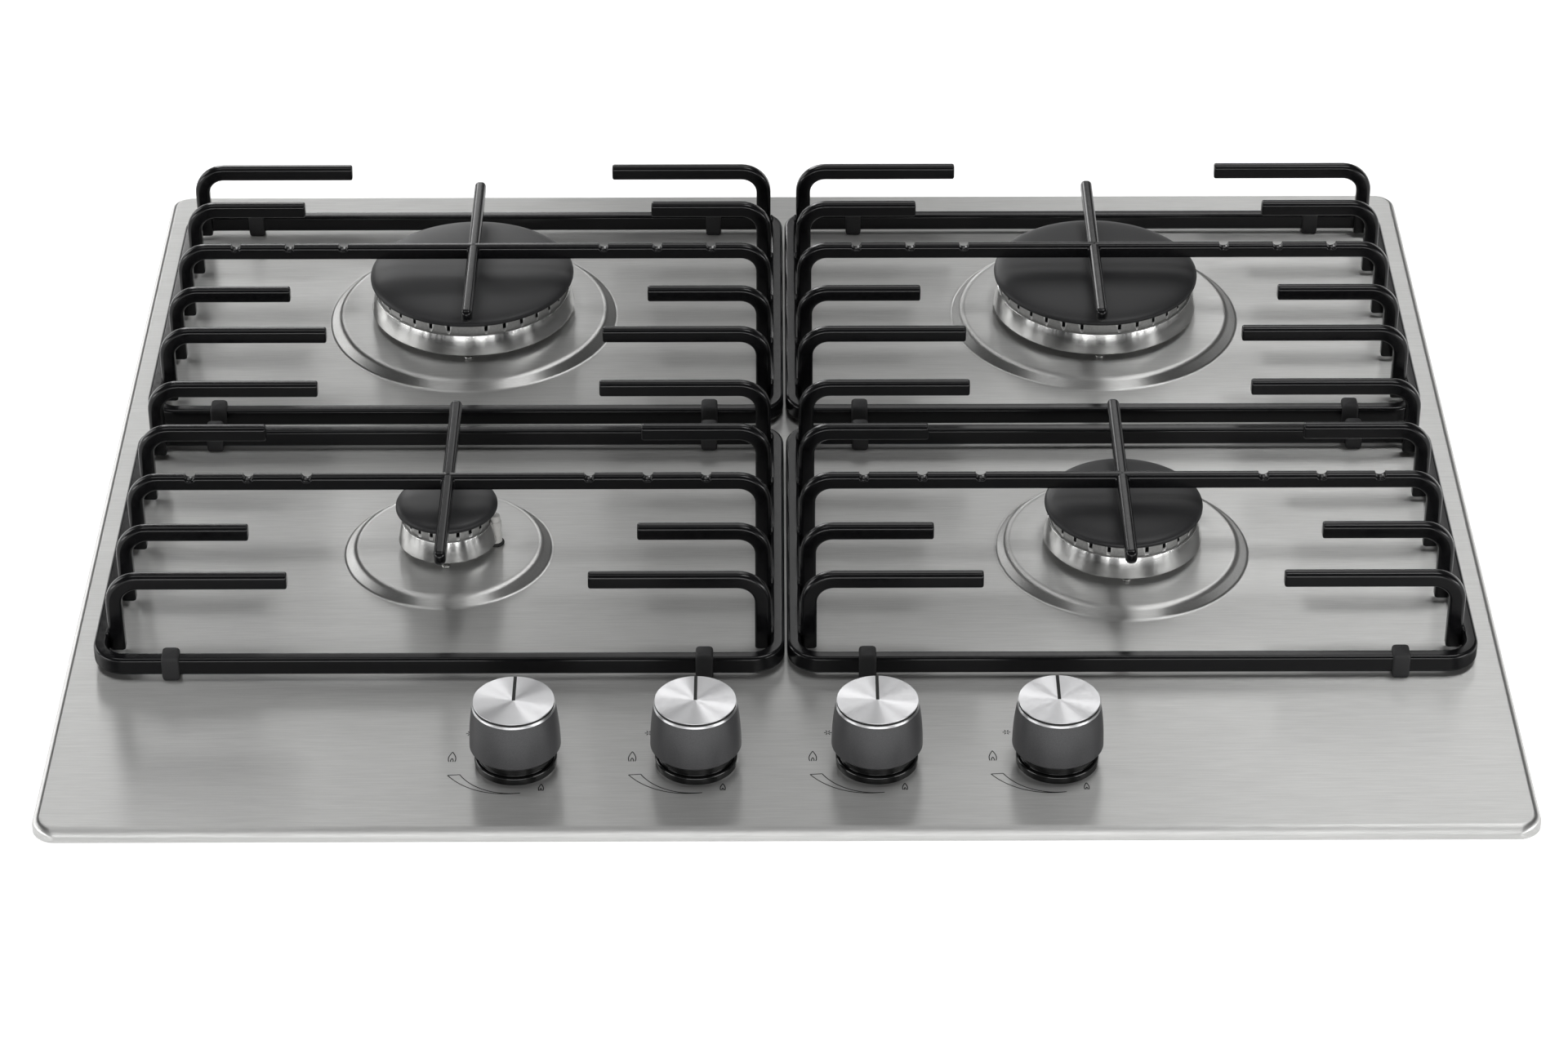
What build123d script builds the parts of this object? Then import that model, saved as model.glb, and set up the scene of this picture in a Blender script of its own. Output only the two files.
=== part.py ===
from build123d import *
import math
import os
from typing import NamedTuple

# Built-in gas hob with four burners, four pan supports and a row of four front knobs.
# Frame: origin at the middle of the plate, on the worktop; +X to the right, +Y to the back, +Z up.
# All lengths in mm.

# Round pieces that repeat are cut with flat sides: few where hidden, many where they show.
HIDDEN_SIDES = 12
BORE_SIDES = 16
BEZEL_SIDES = 24
KNOB_SIDES = 36
BURNER_SIDES = 40

# ---------- top plate ----------
PLATE_X = 600.0
PLATE_Y = 510.0
PLATE_TOP = 6.0
PLATE_CORNER_R = 10.0
PLATE_EDGE_CHAMFER = 1.5
SHEET = 1.0
RIM_BOTTOM = 0.3
SEAT_HEIGHT = 4.0
SEAT_TOP = PLATE_TOP + SEAT_HEIGHT

# ---------- tray, seal and clamps under the plate ----------
BOX_X = 552.0
BOX_Y = 472.0
BOX_CORNER_R = 12.0
BOX_BOTTOM = -44.0
BOX_FLANGE = 4.0
SEAL_WIDTH = 11.0
SEAL_INSET = 3.0
VENT_R = 17.0
RIB_HEIGHT = 2.0
RIB_X = 72.0
RIB_WIDTH = 14.0
RIB_LENGTH = 380.0
CLAMP_X = 200.0
CLAMP_WIDTH = 20.0
CLAMP_SHEET = 2.0
CLAMP_ARM_TOP = -28.0
CLAMP_REACH = 16.0
CLAMP_SCREW_R = 2.5

# ---------- burners ----------
SKIRT_BOTTOM = 13.0
SKIRT_TOP = 24.1
SKIRT_TAPER = 1.2
SKIRT_WALL = 1.2
SKIRT_FOOT = 1.2
SKIRT_SEAT = 1.5
CROWN_TOP = 28.8
CROWN_BOTTOM = 21.0
CROWN_WALL = 4.5
CROWN_GAP = 1.8
CROWN_DECK = 2.0
SLOT_WIDTH = 1.6
SLOT_HEIGHT = 2.6
CAP_TOP = 33.5
CAP_RIM = 3.0
CAP_RIM_DROP = 1.6
CAP_RIM_WIDTH = 2.0
CAP_DRAFT = 0.2
CAP_FLAT_SHARE = 0.45
CAP_GUIDE = 2.6
CAP_GUIDE_GAP = 0.4
REST_GAP = 0.05
CUP_WALL = 3.0
CUP_FLOOR = -11.0
CUP_FLOOR_THICKNESS = 3.0
CUP_LIP = 1.2
CUP_LIP_REACH = 1.4
CUP_FLANGE = 1.4
CUP_FLANGE_REACH = 6.0
HOLDER_R = 9.5
HOLDER_BOTTOM = -27.0
HOLDER_SOCKET = 17.0
INJECTOR_R = 3.0
INJECTOR_HEX = 8.0
ELECTRODE_R = 2.8
ELECTRODE_TOP = 24.5
ELECTRODE_BOTTOM = -12.0
ELECTRODE_INSET = 1.0
ELECTRODE_ROOM = 1.2


class Burner(NamedTuple):
    """One burner: where it stands and the radii that change with its size."""

    name: str
    x: float
    y: float
    seat_r: float
    plateau_r: float
    skirt_r: float
    cap_r: float
    neck_r: float
    venturi_r: float
    slots: int
    electrode_turn: float


BURNERS = [
    Burner("back_left", -145.5, 138.7, 66.8, 62.0, 47.3, 47.3, 39.5, 10.0, 32, 90),
    Burner("back_right", 145.5, 138.7, 66.8, 62.0, 47.3, 47.3, 39.5, 10.0, 32, 90),
    Burner("front_left", -145.5, -57.2, 44.6, 40.2, 21.4, 21.9, 14.5, 6.0, 20, 0),
    Burner("front_right", 145.5, -57.2, 54.4, 50.0, 34.15, 34.0, 26.0, 8.0, 24, 28),
]

# ---------- pan supports ----------
GRATE_X = 144.3
GRATE_HALF_WIDTH = 143.8
GRATE_DEPTH = 181.2
GRATE_FRONT_Y = -61.8
GRATE_BACK_Y = 131.1
RAIL_WIDTH = 5.8
RAIL_BOTTOM = PLATE_TOP + 2.0
RAIL_TOP = RAIL_BOTTOM + 8.0
RAIL_CORNER_R = 14.0
RAIL_CHAMFER = 1.2
BAR_WIDTH = 5.2
BAR_HEIGHT = 6.8
BAR_TOP = 45.4
BAR_CHAMFER = 1.3
BEND_R = 14.0
BEND_STEPS = 4
LEG_BOTTOM = 8.2
LEG_CUT = 2.4
WELD_BITE = 0.2
OUTER_ROW = 75.0
INNER_ROW = 39.0
OUTER_TIP = 62.3
INNER_TIP = 81.8
CROSS_BAR_HALF = 61.0
CROSS_BAR_BLUNT = 1.5
NOTCH_TOP = 4.4
NOTCH_FLOOR = 2.4
NOTCH_DEPTH = 2.0
NOTCH_XS = [60.5, 85.5, 110.5]
FOOT_X = 110.5
FOOT_WIDTH = 7.3
FOOT_SIDE = 1.2
FOOT_CROWN = 2.0
FOOT_CHAMFER = 0.9

# ---------- knobs and taps ----------
KNOB_XS = {"left": -109.3, "centre_left": -36.5, "centre_right": 36.5, "right": 109.3}
KNOB_Y = -208.9
KNOB_FOOT_R = 16.4
KNOB_WIDEST_R = 18.44
KNOB_TOP_R = 16.9
KNOB_BOTTOM = 13.0
KNOB_WIDEST_Z = 15.0
KNOB_TOP = 33.6
KNOB_OPENING_R = 16.1
KNOB_CEILING = 17.6
DISC_TOP_R = 16.35
DISC_TOP = 36.06
BEZEL_R = 15.6
BEZEL_TOP = 14.0
BEZEL_HOLE_R = 3.6
SPINDLE_R = 3.0
SPINDLE_TOP = 28.5
SPINDLE_BOTTOM = -14.0
FIT = 0.05
SPINDLE_HOLE_R = 4.5
COLLAR_R = 5.2
COLLAR_BOTTOM = 2.5
COLLAR_TOP = 3.3
PLUG_R = 6.5
PLUG_TOP = -6.0
PLUG_BOTTOM = -22.6
PLUG_SOCKET_BOTTOM = -18.0
PLUG_PORT = 2.6
PLUG_PORT_Z = -20.3
TAP_TOP = -4.0
TAP_BOTTOM = -26.0
TAP_X = 22.0
TAP_Y = 20.0
TAP_NOSE_R = 6.0
TAP_NOSE = 6.0
SPRING_R = 4.2
SPRING_WIRE = 0.8
SPRING_TURNS = 3
SPRING_SIDES = 7
STRIP_X = 250.0
STRIP_Y = 24.0
STRIP_TOP = 1.0
STRIP_HOLE_R = 5.6

# ---------- gas way and ignition ----------
PIPE_R = 4.0
PIPE_Z = -19.0
PIPE_SIDES = 8
NUT_WIDTH = 13.0
NUT_LENGTH = 6.0
GAS_RAIL_R = 6.0
GAS_RAIL_Y = -227.0
GAS_RAIL_Z = -15.0
GAS_RAIL_LEFT = -125.0
GAS_RAIL_RIGHT = 262.0
GAS_RAIL_BACK = 196.0
GAS_RAIL_BEND_R = 18.0
ELBOW_Y = 206.0
ELBOW_SOCKET_R = 8.5
ELBOW_SOCKET = 20.0
THREAD_R = 10.48
THREAD_BOTTOM = -64.0
LOCKNUT_WIDTH = 27.0
LOCKNUT_BOTTOM = -48.0
ELBOW_BORE_R = 5.0
GLAND_X = -230.0
GLAND_Y = 190.0
GLAND_BORE_R = 3.6
GLAND_NECK_R = 6.0
MODULE_X = 50.0
MODULE_Y = 36.0
MODULE_CENTRE_Y = 58.0
MODULE_TOP = -18.0
LEAD_R = 1.2
LEAD_Z = -30.0
LEAD_CORNER = 8.0


def many_sided_taper(low_r, high_r, low, high, sides):
    """Upright frustum with flat sides that stands in for a cone."""
    angles = [2 * math.pi * side / sides for side in range(sides)]
    bottom = [Vector(low_r * math.cos(a), low_r * math.sin(a), low) for a in angles]
    top = [Vector(high_r * math.cos(a), high_r * math.sin(a), high) for a in angles]
    faces = [Face(Wire.make_polygon(bottom)), Face(Wire.make_polygon(top))]
    for side in range(sides):
        after = (side + 1) % sides
        faces.append(Face(Wire.make_polygon([bottom[side], bottom[after], top[after], top[side]])))
    return Solid(Shell(faces))


def upright(radius, low, high):
    """Upright cylinder between two heights."""
    return Pos(0, 0, low) * extrude(Circle(radius), high - low)


def many_sided(radius, low, high, sides=HIDDEN_SIDES):
    """Upright prism that stands in for a hidden cylinder."""
    return Pos(0, 0, low) * extrude(RegularPolygon(radius, sides), high - low)


def stepped_rectangle(size_x, size_y, corner_r):
    """Rectangle whose corners are rounded in a few even steps."""
    centre_x = size_x / 2 - corner_r
    centre_y = size_y / 2 - corner_r
    points = []
    for quarter in range(4):
        side_x = 1 if quarter in (0, 3) else -1
        side_y = 1 if quarter in (0, 1) else -1
        for step in range(BEND_STEPS + 1):
            angle = math.radians(90 * (quarter + step / BEND_STEPS))
            points.append((
                side_x * centre_x + corner_r * math.cos(angle),
                side_y * centre_y + corner_r * math.sin(angle),
            ))
    return make_face(Polyline(*points, close=True))


def rounded_block(size_x, size_y, corner_r, low, high):
    """Upright block with rounded vertical corners between two heights."""
    return Pos(0, 0, low) * extrude(stepped_rectangle(size_x, size_y, corner_r), high - low)


def box_between(low, high):
    """Box between two opposite corners."""
    size = [b - a for a, b in zip(low, high)]
    centre = [(a + b) / 2 for a, b in zip(low, high)]
    return Pos(*centre) * Box(*size)


def inner_block(size_x, size_y, corner_r, low, high):
    """Upright block with flat-cut corners that hollows out a block with rounded ones."""
    block = box_between((-size_x / 2, -size_y / 2, low), (size_x / 2, size_y / 2, high))
    return chamfer(block.edges().filter_by(Axis.Z), 0.7 * corner_r)


def prism_along_y(sides, radius, x, z, front, back):
    """Many-sided prism along Y at (x, z), from its front end to its back end."""
    return Pos(x, back, z) * Rot(90, 0, 0) * extrude(RegularPolygon(radius, sides), back - front)


def mitred_rod(section, points):
    """Rod of one section along straight runs with mitred corners."""
    path = Polyline(*points)
    return sweep(Plane(origin=path @ 0, z_dir=path % 0) * section, path, transition=Transition.RIGHT)


def save(name, *solids):
    """Write the solids of one node as a STEP file."""
    if len(solids) == 1:
        shape = solids[0]
    else:
        shape = Compound(children=[solid for solid in solids])
    export_step(shape, f"parts/{name}.step")


def electrode_place(burner):
    """Axis of a burner's electrode, turned about the burner from its right-hand side."""
    reach = burner.skirt_r - ELECTRODE_INSET
    turn = math.radians(burner.electrode_turn)
    return burner.x + reach * math.cos(turn), burner.y + reach * math.sin(turn)


# ---------- plate, seal, tray ----------
def burner_seat(burner):
    """Raised disc round a burner, sloping down to the plate."""
    return many_sided_taper(burner.seat_r, burner.plateau_r, PLATE_TOP, SEAT_TOP, BURNER_SIDES)


def top_plate():
    """Pressed sheet with folded edge, burner seats, electrode and spindle holes."""
    outside = rounded_block(PLATE_X, PLATE_Y, PLATE_CORNER_R, RIM_BOTTOM, PLATE_TOP)
    outside = chamfer(outside.faces().sort_by(Axis.Z)[-1].edges(), PLATE_EDGE_CHAMFER)
    inner_x = PLATE_X - 2 * SHEET
    inner_y = PLATE_Y - 2 * SHEET
    plate = outside - inner_block(inner_x, inner_y, PLATE_CORNER_R, 0, PLATE_TOP - SHEET)
    for burner in BURNERS:
        plate += Pos(burner.x, burner.y, 0) * burner_seat(burner)
        plate -= Pos(burner.x, burner.y, 0) * many_sided(burner.neck_r + 0.5, 0, SEAT_TOP + 1)
        electrode_x, electrode_y = electrode_place(burner)
        plate -= Pos(electrode_x, electrode_y, 0) * many_sided(ELECTRODE_R + 0.2, 0, SEAT_TOP + 1)
    for x in KNOB_XS.values():
        plate -= Pos(x, KNOB_Y, 0) * many_sided(SPINDLE_HOLE_R, 0, SEAT_TOP)
    return plate


def rim_seal():
    """Foam ring between the plate's edge and the worktop."""
    outer_x = PLATE_X - 2 * SEAL_INSET
    outer_y = PLATE_Y - 2 * SEAL_INSET
    under_plate = PLATE_TOP - SHEET
    outer = inner_block(outer_x, outer_y, PLATE_CORNER_R, 0, under_plate)
    inner_x = outer_x / 2 - SEAL_WIDTH
    inner_y = outer_y / 2 - SEAL_WIDTH
    return outer - box_between((-inner_x, -inner_y, -1), (inner_x, inner_y, PLATE_TOP))


def burner_box():
    """Pressed tray that closes the hob from below, with vents under the burners."""
    under_plate = PLATE_TOP - SHEET
    tray = rounded_block(BOX_X, BOX_Y, BOX_CORNER_R, BOX_BOTTOM, under_plate)
    flange_x = BOX_X / 2 + BOX_FLANGE
    flange_y = BOX_Y / 2 + BOX_FLANGE
    tray += box_between((-flange_x, -flange_y, under_plate - SHEET), (flange_x, flange_y, under_plate))
    tray -= inner_block(BOX_X - 2 * SHEET, BOX_Y - 2 * SHEET, BOX_CORNER_R, BOX_BOTTOM + SHEET, PLATE_TOP)
    for burner in BURNERS:
        tray -= Pos(burner.x, burner.y, 0) * many_sided(VENT_R, BOX_BOTTOM - 1, BOX_BOTTOM + 2)
    rib_half = RIB_WIDTH / 2
    rib_end = RIB_LENGTH / 2
    rib_top = BOX_BOTTOM + RIB_HEIGHT
    for x in (-RIB_X, RIB_X):
        tray += box_between((x - rib_half, -rib_end, BOX_BOTTOM), (x + rib_half, rib_end, rib_top + SHEET))
        inside = rib_half - SHEET
        inside_end = rib_end - SHEET
        tray -= box_between((x - inside, -inside_end, BOX_BOTTOM - 1), (x + inside, inside_end, rib_top))
    tray -= Pos(GAS_RAIL_RIGHT, ELBOW_Y, 0) * many_sided(THREAD_R + 1.0, BOX_BOTTOM - 1, BOX_BOTTOM + 2)
    tray -= Pos(GLAND_X, GLAND_Y, 0) * many_sided(GLAND_NECK_R + 0.4, BOX_BOTTOM - 1, BOX_BOTTOM + 2)
    return tray


def worktop_clamp(x, side):
    """Bracket on the tray's front or back wall and the screw that grips the worktop."""
    wall = side * BOX_Y / 2
    reach = side * (BOX_Y / 2 + CLAMP_REACH)
    near, far = sorted((wall, wall + side * CLAMP_SHEET))
    left, right = x - CLAMP_WIDTH / 2, x + CLAMP_WIDTH / 2
    bracket = box_between((left, near, BOX_BOTTOM + 2), (right, far, CLAMP_ARM_TOP))
    near, far = sorted((wall, reach))
    bracket += box_between((left, near, CLAMP_ARM_TOP - CLAMP_SHEET), (right, far, CLAMP_ARM_TOP))
    screw_y = side * (BOX_Y / 2 + CLAMP_REACH - 5)
    bracket -= Pos(x, screw_y, 0) * many_sided(CLAMP_SCREW_R + 0.1, CLAMP_ARM_TOP - 4, CLAMP_ARM_TOP + 1, 8)
    screw = Pos(x, screw_y, 0) * many_sided(CLAMP_SCREW_R, CLAMP_ARM_TOP - 10, CLAMP_ARM_TOP + 8, 8)
    return [bracket, screw]


# ---------- burners ----------
def electrode_recess(burner):
    """Upright round recess, about the burner's own axis, that leaves the electrode free."""
    x, y = electrode_place(burner)
    return Pos(x - burner.x, y - burner.y, 0) * many_sided(ELECTRODE_R + ELECTRODE_ROOM, 0, CROWN_TOP + 1)


def burner_cup(burner):
    """Cast cup, clamped to the plate by its flange, with the injector's seat and the pipe's socket."""
    neck_in = burner.neck_r - CUP_WALL
    collar_r = burner.neck_r - SKIRT_SEAT
    cup = many_sided(burner.neck_r, CUP_FLOOR, SKIRT_BOTTOM)
    cup += many_sided(collar_r, SKIRT_BOTTOM, CROWN_BOTTOM)
    cup += many_sided(burner.neck_r + CUP_LIP_REACH, SEAT_TOP, SEAT_TOP + CUP_LIP)
    under_plate = PLATE_TOP - SHEET
    flange_top = under_plate - REST_GAP
    cup += many_sided(burner.neck_r + CUP_FLANGE_REACH, flange_top - CUP_FLANGE, flange_top)
    cup -= many_sided(neck_in, CUP_FLOOR + CUP_FLOOR_THICKNESS, CROWN_BOTTOM + 1)
    cup += many_sided(HOLDER_R, HOLDER_BOTTOM, CUP_FLOOR)
    cup += prism_along_y(PIPE_SIDES, PIPE_R + 2.4, 0, PIPE_Z, -HOLDER_SOCKET, -6)
    cup -= prism_along_y(PIPE_SIDES, PIPE_R + FIT, 0, PIPE_Z, -HOLDER_SOCKET - 1, -5)
    cup -= many_sided(INJECTOR_R + FIT, PIPE_Z, CUP_FLOOR + 4, 6)
    cup -= electrode_recess(burner)
    return Pos(burner.x, burner.y, 0) * cup


def burner_skirt(burner):
    """Polished conical ring whose foot sits on the cup's shoulder."""
    foot_top = SKIRT_BOTTOM + SKIRT_FOOT
    outer_r = burner.skirt_r
    inner_r = outer_r - SKIRT_WALL
    skirt = many_sided_taper(outer_r - SKIRT_TAPER, outer_r, SKIRT_BOTTOM, SKIRT_TOP, BURNER_SIDES)
    skirt -= many_sided_taper(inner_r - SKIRT_TAPER, inner_r, foot_top, SKIRT_TOP, BURNER_SIDES)
    skirt -= many_sided(burner.neck_r - SKIRT_SEAT + FIT, SKIRT_BOTTOM - 1, foot_top + 1)
    return Pos(burner.x, burner.y, 0) * (skirt - electrode_recess(burner))


def burner_crown(burner):
    """Cast crown with the ring of flame slots, open at the top, over the cup's mouth."""
    crown_r = burner.skirt_r - CROWN_GAP
    wall_in = crown_r - CROWN_WALL
    deck_top = CROWN_BOTTOM + CROWN_DECK
    pitch = 360 / burner.slots
    # corners fall between the slots
    chamber = RegularPolygon(wall_in, burner.slots // 2, rotation=-90 + pitch / 2)
    wall = RegularPolygon(crown_r, burner.slots, rotation=-90 + pitch / 2)
    crown = Pos(0, 0, CROWN_BOTTOM) * extrude(wall, CROWN_TOP - CROWN_BOTTOM)
    crown -= Pos(0, 0, deck_top) * extrude(chamber, CROWN_TOP)
    crown -= many_sided(burner.venturi_r, CROWN_BOTTOM - 1, deck_top + 1)
    slot = box_between(
        (wall_in - 2, -SLOT_WIDTH / 2, CROWN_TOP - SLOT_HEIGHT),
        (crown_r + 1, SLOT_WIDTH / 2, CROWN_TOP + 1),
    )
    # the place at the very front has no slot
    crown -= [Rot(0, 0, -90 + pitch * place) * slot for place in range(1, burner.slots)]
    return Pos(burner.x, burner.y, 0) * (crown - electrode_recess(burner))


def burner_cap(burner):
    """Enamelled lid with a rounded rim, a low dome and a locating boss below."""
    seat = CROWN_TOP + REST_GAP
    rim_top = seat + CAP_RIM
    rim_low = rim_top - CAP_RIM_DROP
    edge_r = burner.cap_r - CAP_RIM_WIDTH
    cap = many_sided_taper(burner.cap_r - CAP_DRAFT, burner.cap_r, seat, rim_low, BURNER_SIDES)
    cap += many_sided_taper(burner.cap_r, edge_r, rim_low, rim_top, BURNER_SIDES)
    cap += many_sided_taper(edge_r, CAP_FLAT_SHARE * edge_r, rim_top, CAP_TOP, BURNER_SIDES)
    wall_in = burner.skirt_r - CROWN_GAP - CROWN_WALL
    guide_r = wall_in * math.cos(2 * math.pi / burner.slots) - CAP_GUIDE_GAP
    cap += many_sided(guide_r, seat - CAP_GUIDE, seat)
    return Pos(burner.x, burner.y, 0) * cap


def injector(burner):
    """Brass jet screwed into the floor of the cup."""
    floor_top = CUP_FLOOR + CUP_FLOOR_THICKNESS
    jet = many_sided(INJECTOR_R, floor_top - 5, floor_top, 6)
    jet += many_sided(INJECTOR_HEX / math.sqrt(3), floor_top, floor_top + 4.0, 6)
    return Pos(burner.x, burner.y, 0) * jet


def electrode(burner):
    """Ceramic spark electrode beside the burner."""
    x, y = electrode_place(burner)
    return Pos(x, y, 0) * many_sided(ELECTRODE_R, ELECTRODE_BOTTOM, ELECTRODE_TOP)


# ---------- pan supports ----------
def bend_points(centre_x, centre_z, radius):
    """Corners of a quarter bend, from its top round to its outer side."""
    angles = [math.radians(90 - 90 * step / BEND_STEPS) for step in range(BEND_STEPS + 1)]
    return [(centre_x + radius * math.cos(a), 0, centre_z + radius * math.sin(a)) for a in angles]


def grate_finger(tip):
    """Bar that runs outward from its tip, bends down and ends as a leg at the right-hand rail."""
    leg_out = GRATE_HALF_WIDTH - RAIL_WIDTH + WELD_BITE
    leg_in = leg_out - BAR_HEIGHT
    bend_x = leg_out - BEND_R
    bend_z = BAR_TOP - BEND_R
    outline = Polyline(
        (tip, 0, BAR_TOP),
        *bend_points(bend_x, bend_z, BEND_R),
        (leg_out, 0, LEG_BOTTOM),
        (leg_in + LEG_CUT, 0, LEG_BOTTOM),
        (leg_in, 0, LEG_BOTTOM + LEG_CUT),
        *reversed(bend_points(bend_x, bend_z, BEND_R - BAR_HEIGHT)),
        (tip, 0, BAR_TOP - BAR_HEIGHT),
        close=True,
    )
    finger = extrude(make_face(outline), BAR_WIDTH / 2, dir=(0, 1, 0), both=True)
    outer_edges = [
        edge
        for face in finger.faces().filter_by(Axis.Y)
        for edge in face.edges()
        if edge.center().Z > LEG_BOTTOM + 1
        and (edge.center().Z > BAR_TOP - BAR_HEIGHT / 2 + 0.1 or edge.center().X > leg_out - BAR_HEIGHT / 2)
    ]
    return chamfer(outer_edges, BAR_CHAMFER)


def grate_notch(x):
    """Shallow notch across the top of the long bar that keeps small pans from sliding."""
    low = BAR_TOP - NOTCH_DEPTH
    outline = Polyline(
        (x - NOTCH_TOP / 2, 0, BAR_TOP + 0.01),
        (x - NOTCH_FLOOR / 2, 0, low),
        (x + NOTCH_FLOOR / 2, 0, low),
        (x + NOTCH_TOP / 2, 0, BAR_TOP + 0.01),
        close=True,
    )
    return extrude(make_face(outline), BAR_WIDTH, dir=(0, 1, 0), both=True)


def grate_cross_bar():
    """Bar along Y through the middle of a pan support, with blunted ends."""
    half = BAR_WIDTH / 2
    bar = box_between((-half, -CROSS_BAR_HALF, BAR_TOP - BAR_HEIGHT), (half, CROSS_BAR_HALF, BAR_TOP))
    bar = chamfer(bar.edges().filter_by(Axis.Z), CROSS_BAR_BLUNT)
    return chamfer(bar.faces().sort_by(Axis.Z)[-1].edges().filter_by(Axis.Y), BAR_CHAMFER)


def grate_frame():
    """Closed rectangular rail with rounded corners that carries all legs."""
    width = 2 * GRATE_HALF_WIDTH
    inner_x = width - 2 * RAIL_WIDTH
    inner_y = GRATE_DEPTH - 2 * RAIL_WIDTH
    ring = stepped_rectangle(width, GRATE_DEPTH, RAIL_CORNER_R)
    ring -= stepped_rectangle(inner_x, inner_y, RAIL_CORNER_R - RAIL_WIDTH)
    rail = Pos(0, 0, RAIL_BOTTOM) * extrude(ring, RAIL_TOP - RAIL_BOTTOM)
    return chamfer(rail.faces().sort_by(Axis.Z)[-1].edges(), RAIL_CHAMFER)


def grate(centre_x, centre_y, burner_y):
    """Welded pan support: rail, eight short fingers, one long notched bar and the cross bar."""
    rows = burner_y - centre_y
    support = grate_frame()
    for side in (0, 180):
        for row, tip in ((OUTER_ROW, OUTER_TIP), (INNER_ROW, INNER_TIP)):
            for y in (-row, row):
                support += Pos(0, rows + y, 0) * Rot(0, 0, side) * grate_finger(tip)
        support += Pos(0, rows, 0) * Rot(0, 0, side) * grate_finger(0)
        for notch_x in NOTCH_XS:
            support -= Pos(0, rows, 0) * Rot(0, 0, side) * grate_notch(notch_x)
    support += Pos(0, rows, 0) * grate_cross_bar()
    return Pos(centre_x, centre_y, 0) * support


def grate_foot(x, y):
    """Rubber strap round the rail that stands on the plate."""
    bottom = PLATE_TOP + REST_GAP
    half_width = FOOT_WIDTH / 2
    half_depth = RAIL_WIDTH / 2 + FOOT_SIDE
    foot = box_between((-half_width, -half_depth, bottom), (half_width, half_depth, RAIL_TOP + FOOT_CROWN))
    foot = chamfer(foot.faces().sort_by(Axis.Z)[-1].edges(), FOOT_CHAMFER)
    rail_low = (-half_width - 1, -RAIL_WIDTH / 2, RAIL_BOTTOM)
    rail_high = (half_width + 1, RAIL_WIDTH / 2, RAIL_TOP)
    foot -= box_between(rail_low, rail_high)
    return Pos(x, y, 0) * foot


def grate_feet(centre_x, centre_y):
    """The four strap feet of one pan support."""
    bar_y = GRATE_DEPTH / 2 - RAIL_WIDTH / 2
    return [grate_foot(centre_x + x, centre_y + y) for x in (-FOOT_X, FOOT_X) for y in (-bar_y, bar_y)]


# ---------- knobs and taps ----------
def knob_skirt(x):
    """Knob body with a recess over its base ring and a six-sided socket for the spindle."""
    body = many_sided_taper(KNOB_FOOT_R, KNOB_WIDEST_R, KNOB_BOTTOM, KNOB_WIDEST_Z, KNOB_SIDES)
    body += many_sided_taper(KNOB_WIDEST_R, KNOB_TOP_R, KNOB_WIDEST_Z, KNOB_TOP, KNOB_SIDES)
    body -= many_sided(KNOB_OPENING_R, KNOB_BOTTOM - 1, KNOB_CEILING, KNOB_SIDES)
    body -= many_sided(SPINDLE_R + FIT, KNOB_CEILING - 1, SPINDLE_TOP + 0.5, 6)
    return Pos(x, KNOB_Y, 0) * body


def knob_disc(x):
    """Turned aluminium disc on top of the knob."""
    return Pos(x, KNOB_Y, 0) * many_sided_taper(KNOB_TOP_R, DISC_TOP_R, KNOB_TOP, DISC_TOP, KNOB_SIDES)


def knob_bezel(x):
    """Base ring on the plate, nested in the knob's opening."""
    ring = many_sided(BEZEL_R, PLATE_TOP, BEZEL_TOP, BEZEL_SIDES)
    return Pos(x, KNOB_Y, 0) * (ring - many_sided(BEZEL_HOLE_R, PLATE_TOP - 1, BEZEL_TOP + 1))


def spindle(x):
    """Six-sided steel spindle with the collar that the spring lifts."""
    rod = many_sided(SPINDLE_R, SPINDLE_BOTTOM, SPINDLE_TOP, 6)
    return Pos(x, KNOB_Y, 0) * (rod + many_sided(COLLAR_R, COLLAR_BOTTOM, COLLAR_TOP, 6))


def tap_plug(x):
    """Brass plug with the spindle's socket and the gas port, shut at rest."""
    plug = upright(PLUG_R, PLUG_BOTTOM, PLUG_TOP)
    plug -= many_sided(SPINDLE_R + FIT, PLUG_SOCKET_BOTTOM, PLUG_TOP + 1, 6)
    half = PLUG_PORT / 2
    plug -= box_between((-PLUG_R - 1, -half, PLUG_PORT_Z - half), (PLUG_R + 1, half, PLUG_PORT_Z + half))
    return Pos(x, KNOB_Y, 0) * plug


def tap_body(x):
    """Valve block with the plug's bore, a saddle on the gas rail and the pipe socket."""
    body = box_between((-TAP_X / 2, -TAP_Y / 2, TAP_BOTTOM), (TAP_X / 2, TAP_Y / 2, TAP_TOP))
    saddle_front = GAS_RAIL_Y - KNOB_Y + 3
    body += box_between((-7, saddle_front, TAP_BOTTOM + 2), (7, 1 - TAP_Y / 2, TAP_TOP - 4))
    rail = extrude(RegularPolygon(GAS_RAIL_R + FIT, PIPE_SIDES), 16)
    body -= Pos(-8, GAS_RAIL_Y - KNOB_Y, GAS_RAIL_Z) * Rot(0, 90, 0) * rail
    nose_end = TAP_Y / 2 + TAP_NOSE
    body += prism_along_y(PIPE_SIDES, TAP_NOSE_R, 0, PIPE_Z, TAP_Y / 2 - 1, nose_end)
    body -= prism_along_y(PIPE_SIDES, PIPE_R + FIT, 0, PIPE_Z, TAP_Y / 2 - 0.5, nose_end + 1)
    bore_r = (PLUG_R + FIT) / math.cos(math.pi / BORE_SIDES)
    body -= many_sided(bore_r, PLUG_BOTTOM - 0.4, TAP_TOP + 1, BORE_SIDES)
    return Pos(x, KNOB_Y, 0) * body


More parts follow.
